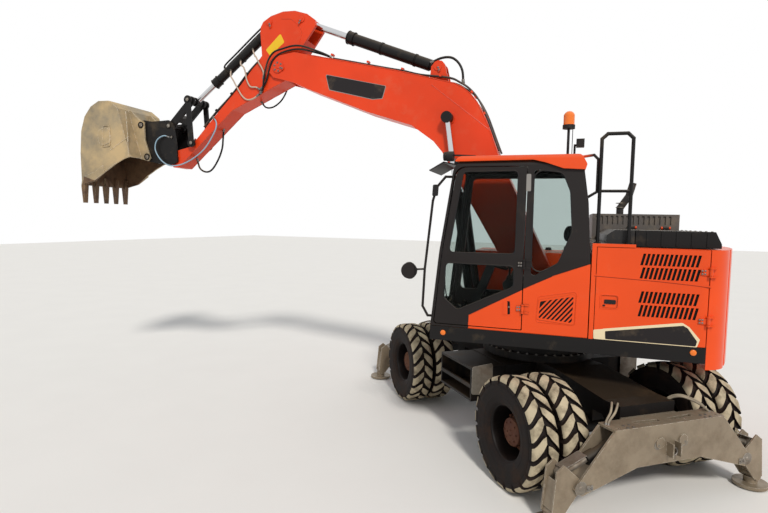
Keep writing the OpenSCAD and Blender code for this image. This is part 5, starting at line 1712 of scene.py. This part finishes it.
box_parts = []
for y, out in ((701, LEFT), (-701, RIGHT)):
    for x0, x1 in ((-415, -60), (-40, 315)):
        middle = (x0 + x1) / 2
        box_parts += [(box_plate(x0, x1, 650, 905, 14, y, y + 5 * out), 0),
                      (box_plate(middle - 26, middle + 26, 850, 880, 8, y + 5 * out,
                                 y + 13 * out), 1)]
trim("tool_box_doors", box_parts, ["frame_paint", "steel"], "chassis", 0.002)
guards = []
for ends in (((870, 612), (1120, 640), (1120, 940), (870, 968)),
             ((-1120, 640), (-870, 612), (-870, 968), (-1120, 940))):
    guards.append((slab(softened(ends, 24), -438, -430.4,
                        lambda across, along, z: chassis(along, across, z)), 0))
trim("step_end_guards", guards, ["worn_steel"], "chassis", 0.0015)
print("box doors", len(box_parts) // 2)

# %% [markdown]
# Two hoses for each leg's cylinder leave the frame, hang slack over the beam's top and
# end at the barrel. The second of a pair lies beside the first, so its places are the
# same ones, shifted.

# %% Hoses over the beams
for end, x, out in BEAMS:
    for hand, side in (("left", LEFT), ("right", RIGHT)):
        for k, shift in enumerate((0, 34)):
            half = shift * 0.5
            route = [chassis(x - inward * out, aside * side, z) for inward, aside, z in (
                (330 + shift, 250 + shift, 752), (330 + shift, 300 + shift, 850),
                (250 + shift, 370 + shift, 900), (170 + half, 470 + shift, 862),
                (140 + half, 560 + shift * 0.4, 800), (110 + half, 600 + shift * 0.2, 752))]
            hose("beam_hose_%s_%s_%d" % (end, hand, k + 1), route, 0.010, "hose_worn",
                 "chassis")

# %% [markdown]
# ## Bucket, coupler and links
# Pins end in bright worn faces inside black bosses. A boss and a pin face are turned
# profiles, with two small bolt heads on each. They are what makes the front look used.

# %% Pin ends
def pin_end(pin, y, radius):
    """A boss with a bright pin in it, standing out at y on either side."""
    place, way = house(pin[0], y, pin[1]), Vector((0, math.copysign(1, y), 0))
    boss = [(radius * 0.62, 0.006), (radius * 0.66, 0.010), (radius * 0.92, 0.010),
            (radius, 0.004), (radius, -0.004)]
    face = [(0.0, 0.0075), (radius * 0.50, 0.0075), (radius * 0.60, 0.005), (radius * 0.64, 0.0)]
    heads = [place + way * 0.007 + Vector((math.cos(a), 0, math.sin(a))) * radius * 0.3
             for a in (0.6, 3.74)]
    return [(moved(facing_out(place, way), turned(boss, 32)), 0),
            (moved(facing_out(place, way), turned(face, 32)), 1),
            (bolts(heads, way, radius * 0.10, 0.005), 1)]


def pin_ends(*pins):
    """Pin ends of (pin, y, radius) on the left, then on the right."""
    return [part for side in (LEFT, RIGHT) for pin, y, radius in pins
            for part in pin_end(pin, y * side, radius)]


COUPLER, LOCK_PIN, EAR_TOP, EAR_LOW = (5300, 3810), (5244, 3640), (5770, 3830), (5660, 3360)
trim("coupler_pin_ends",
     pin_ends((COUPLER, 178.5, 0.046), (LOCK_PIN, 178.5, 0.026), (EAR_TOP, 215, 0.050),
              (EAR_LOW, 215, 0.050)), ["black_paint", "worn_steel"], "bucket")
trim("idler_pin_ends", pin_ends((IDLER, 213, 0.042), (LINK_TOP, 213, 0.042)),
     ["black_paint", "worn_steel"], "idler")
print("pin ends", 12)

# %% [markdown]
# The bucket's side plates meet its shell in weld beads that the soil polishes. The side
# cutter is welded on all round, which is a closed ring of the same bead.

# %% Weld beads of the bucket
LIP = [(6129, 3445), (5960, 3536), (5790, 3628)]
BACK = [(5795, 3345), (5812, 3700), (5840, 3990)]
SIDE_CUTTER = [(6130, 3500), (6140, 3800), (6256, 3795), (6281, 3489)]
beads = []
for side in (LEFT, RIGHT):
    cutter_line = places(softened(SIDE_CUTTER, 26), 438.5 * side)
    beads += [(seam(LIP, 431 * side), 0), (ring_of(cutter_line, 0.005), 0),
              (seam(BACK, 431 * side), 0)]
trim("bucket_weld_beads", beads, ["bucket_steel"], "bucket")
print("beads", len(beads))
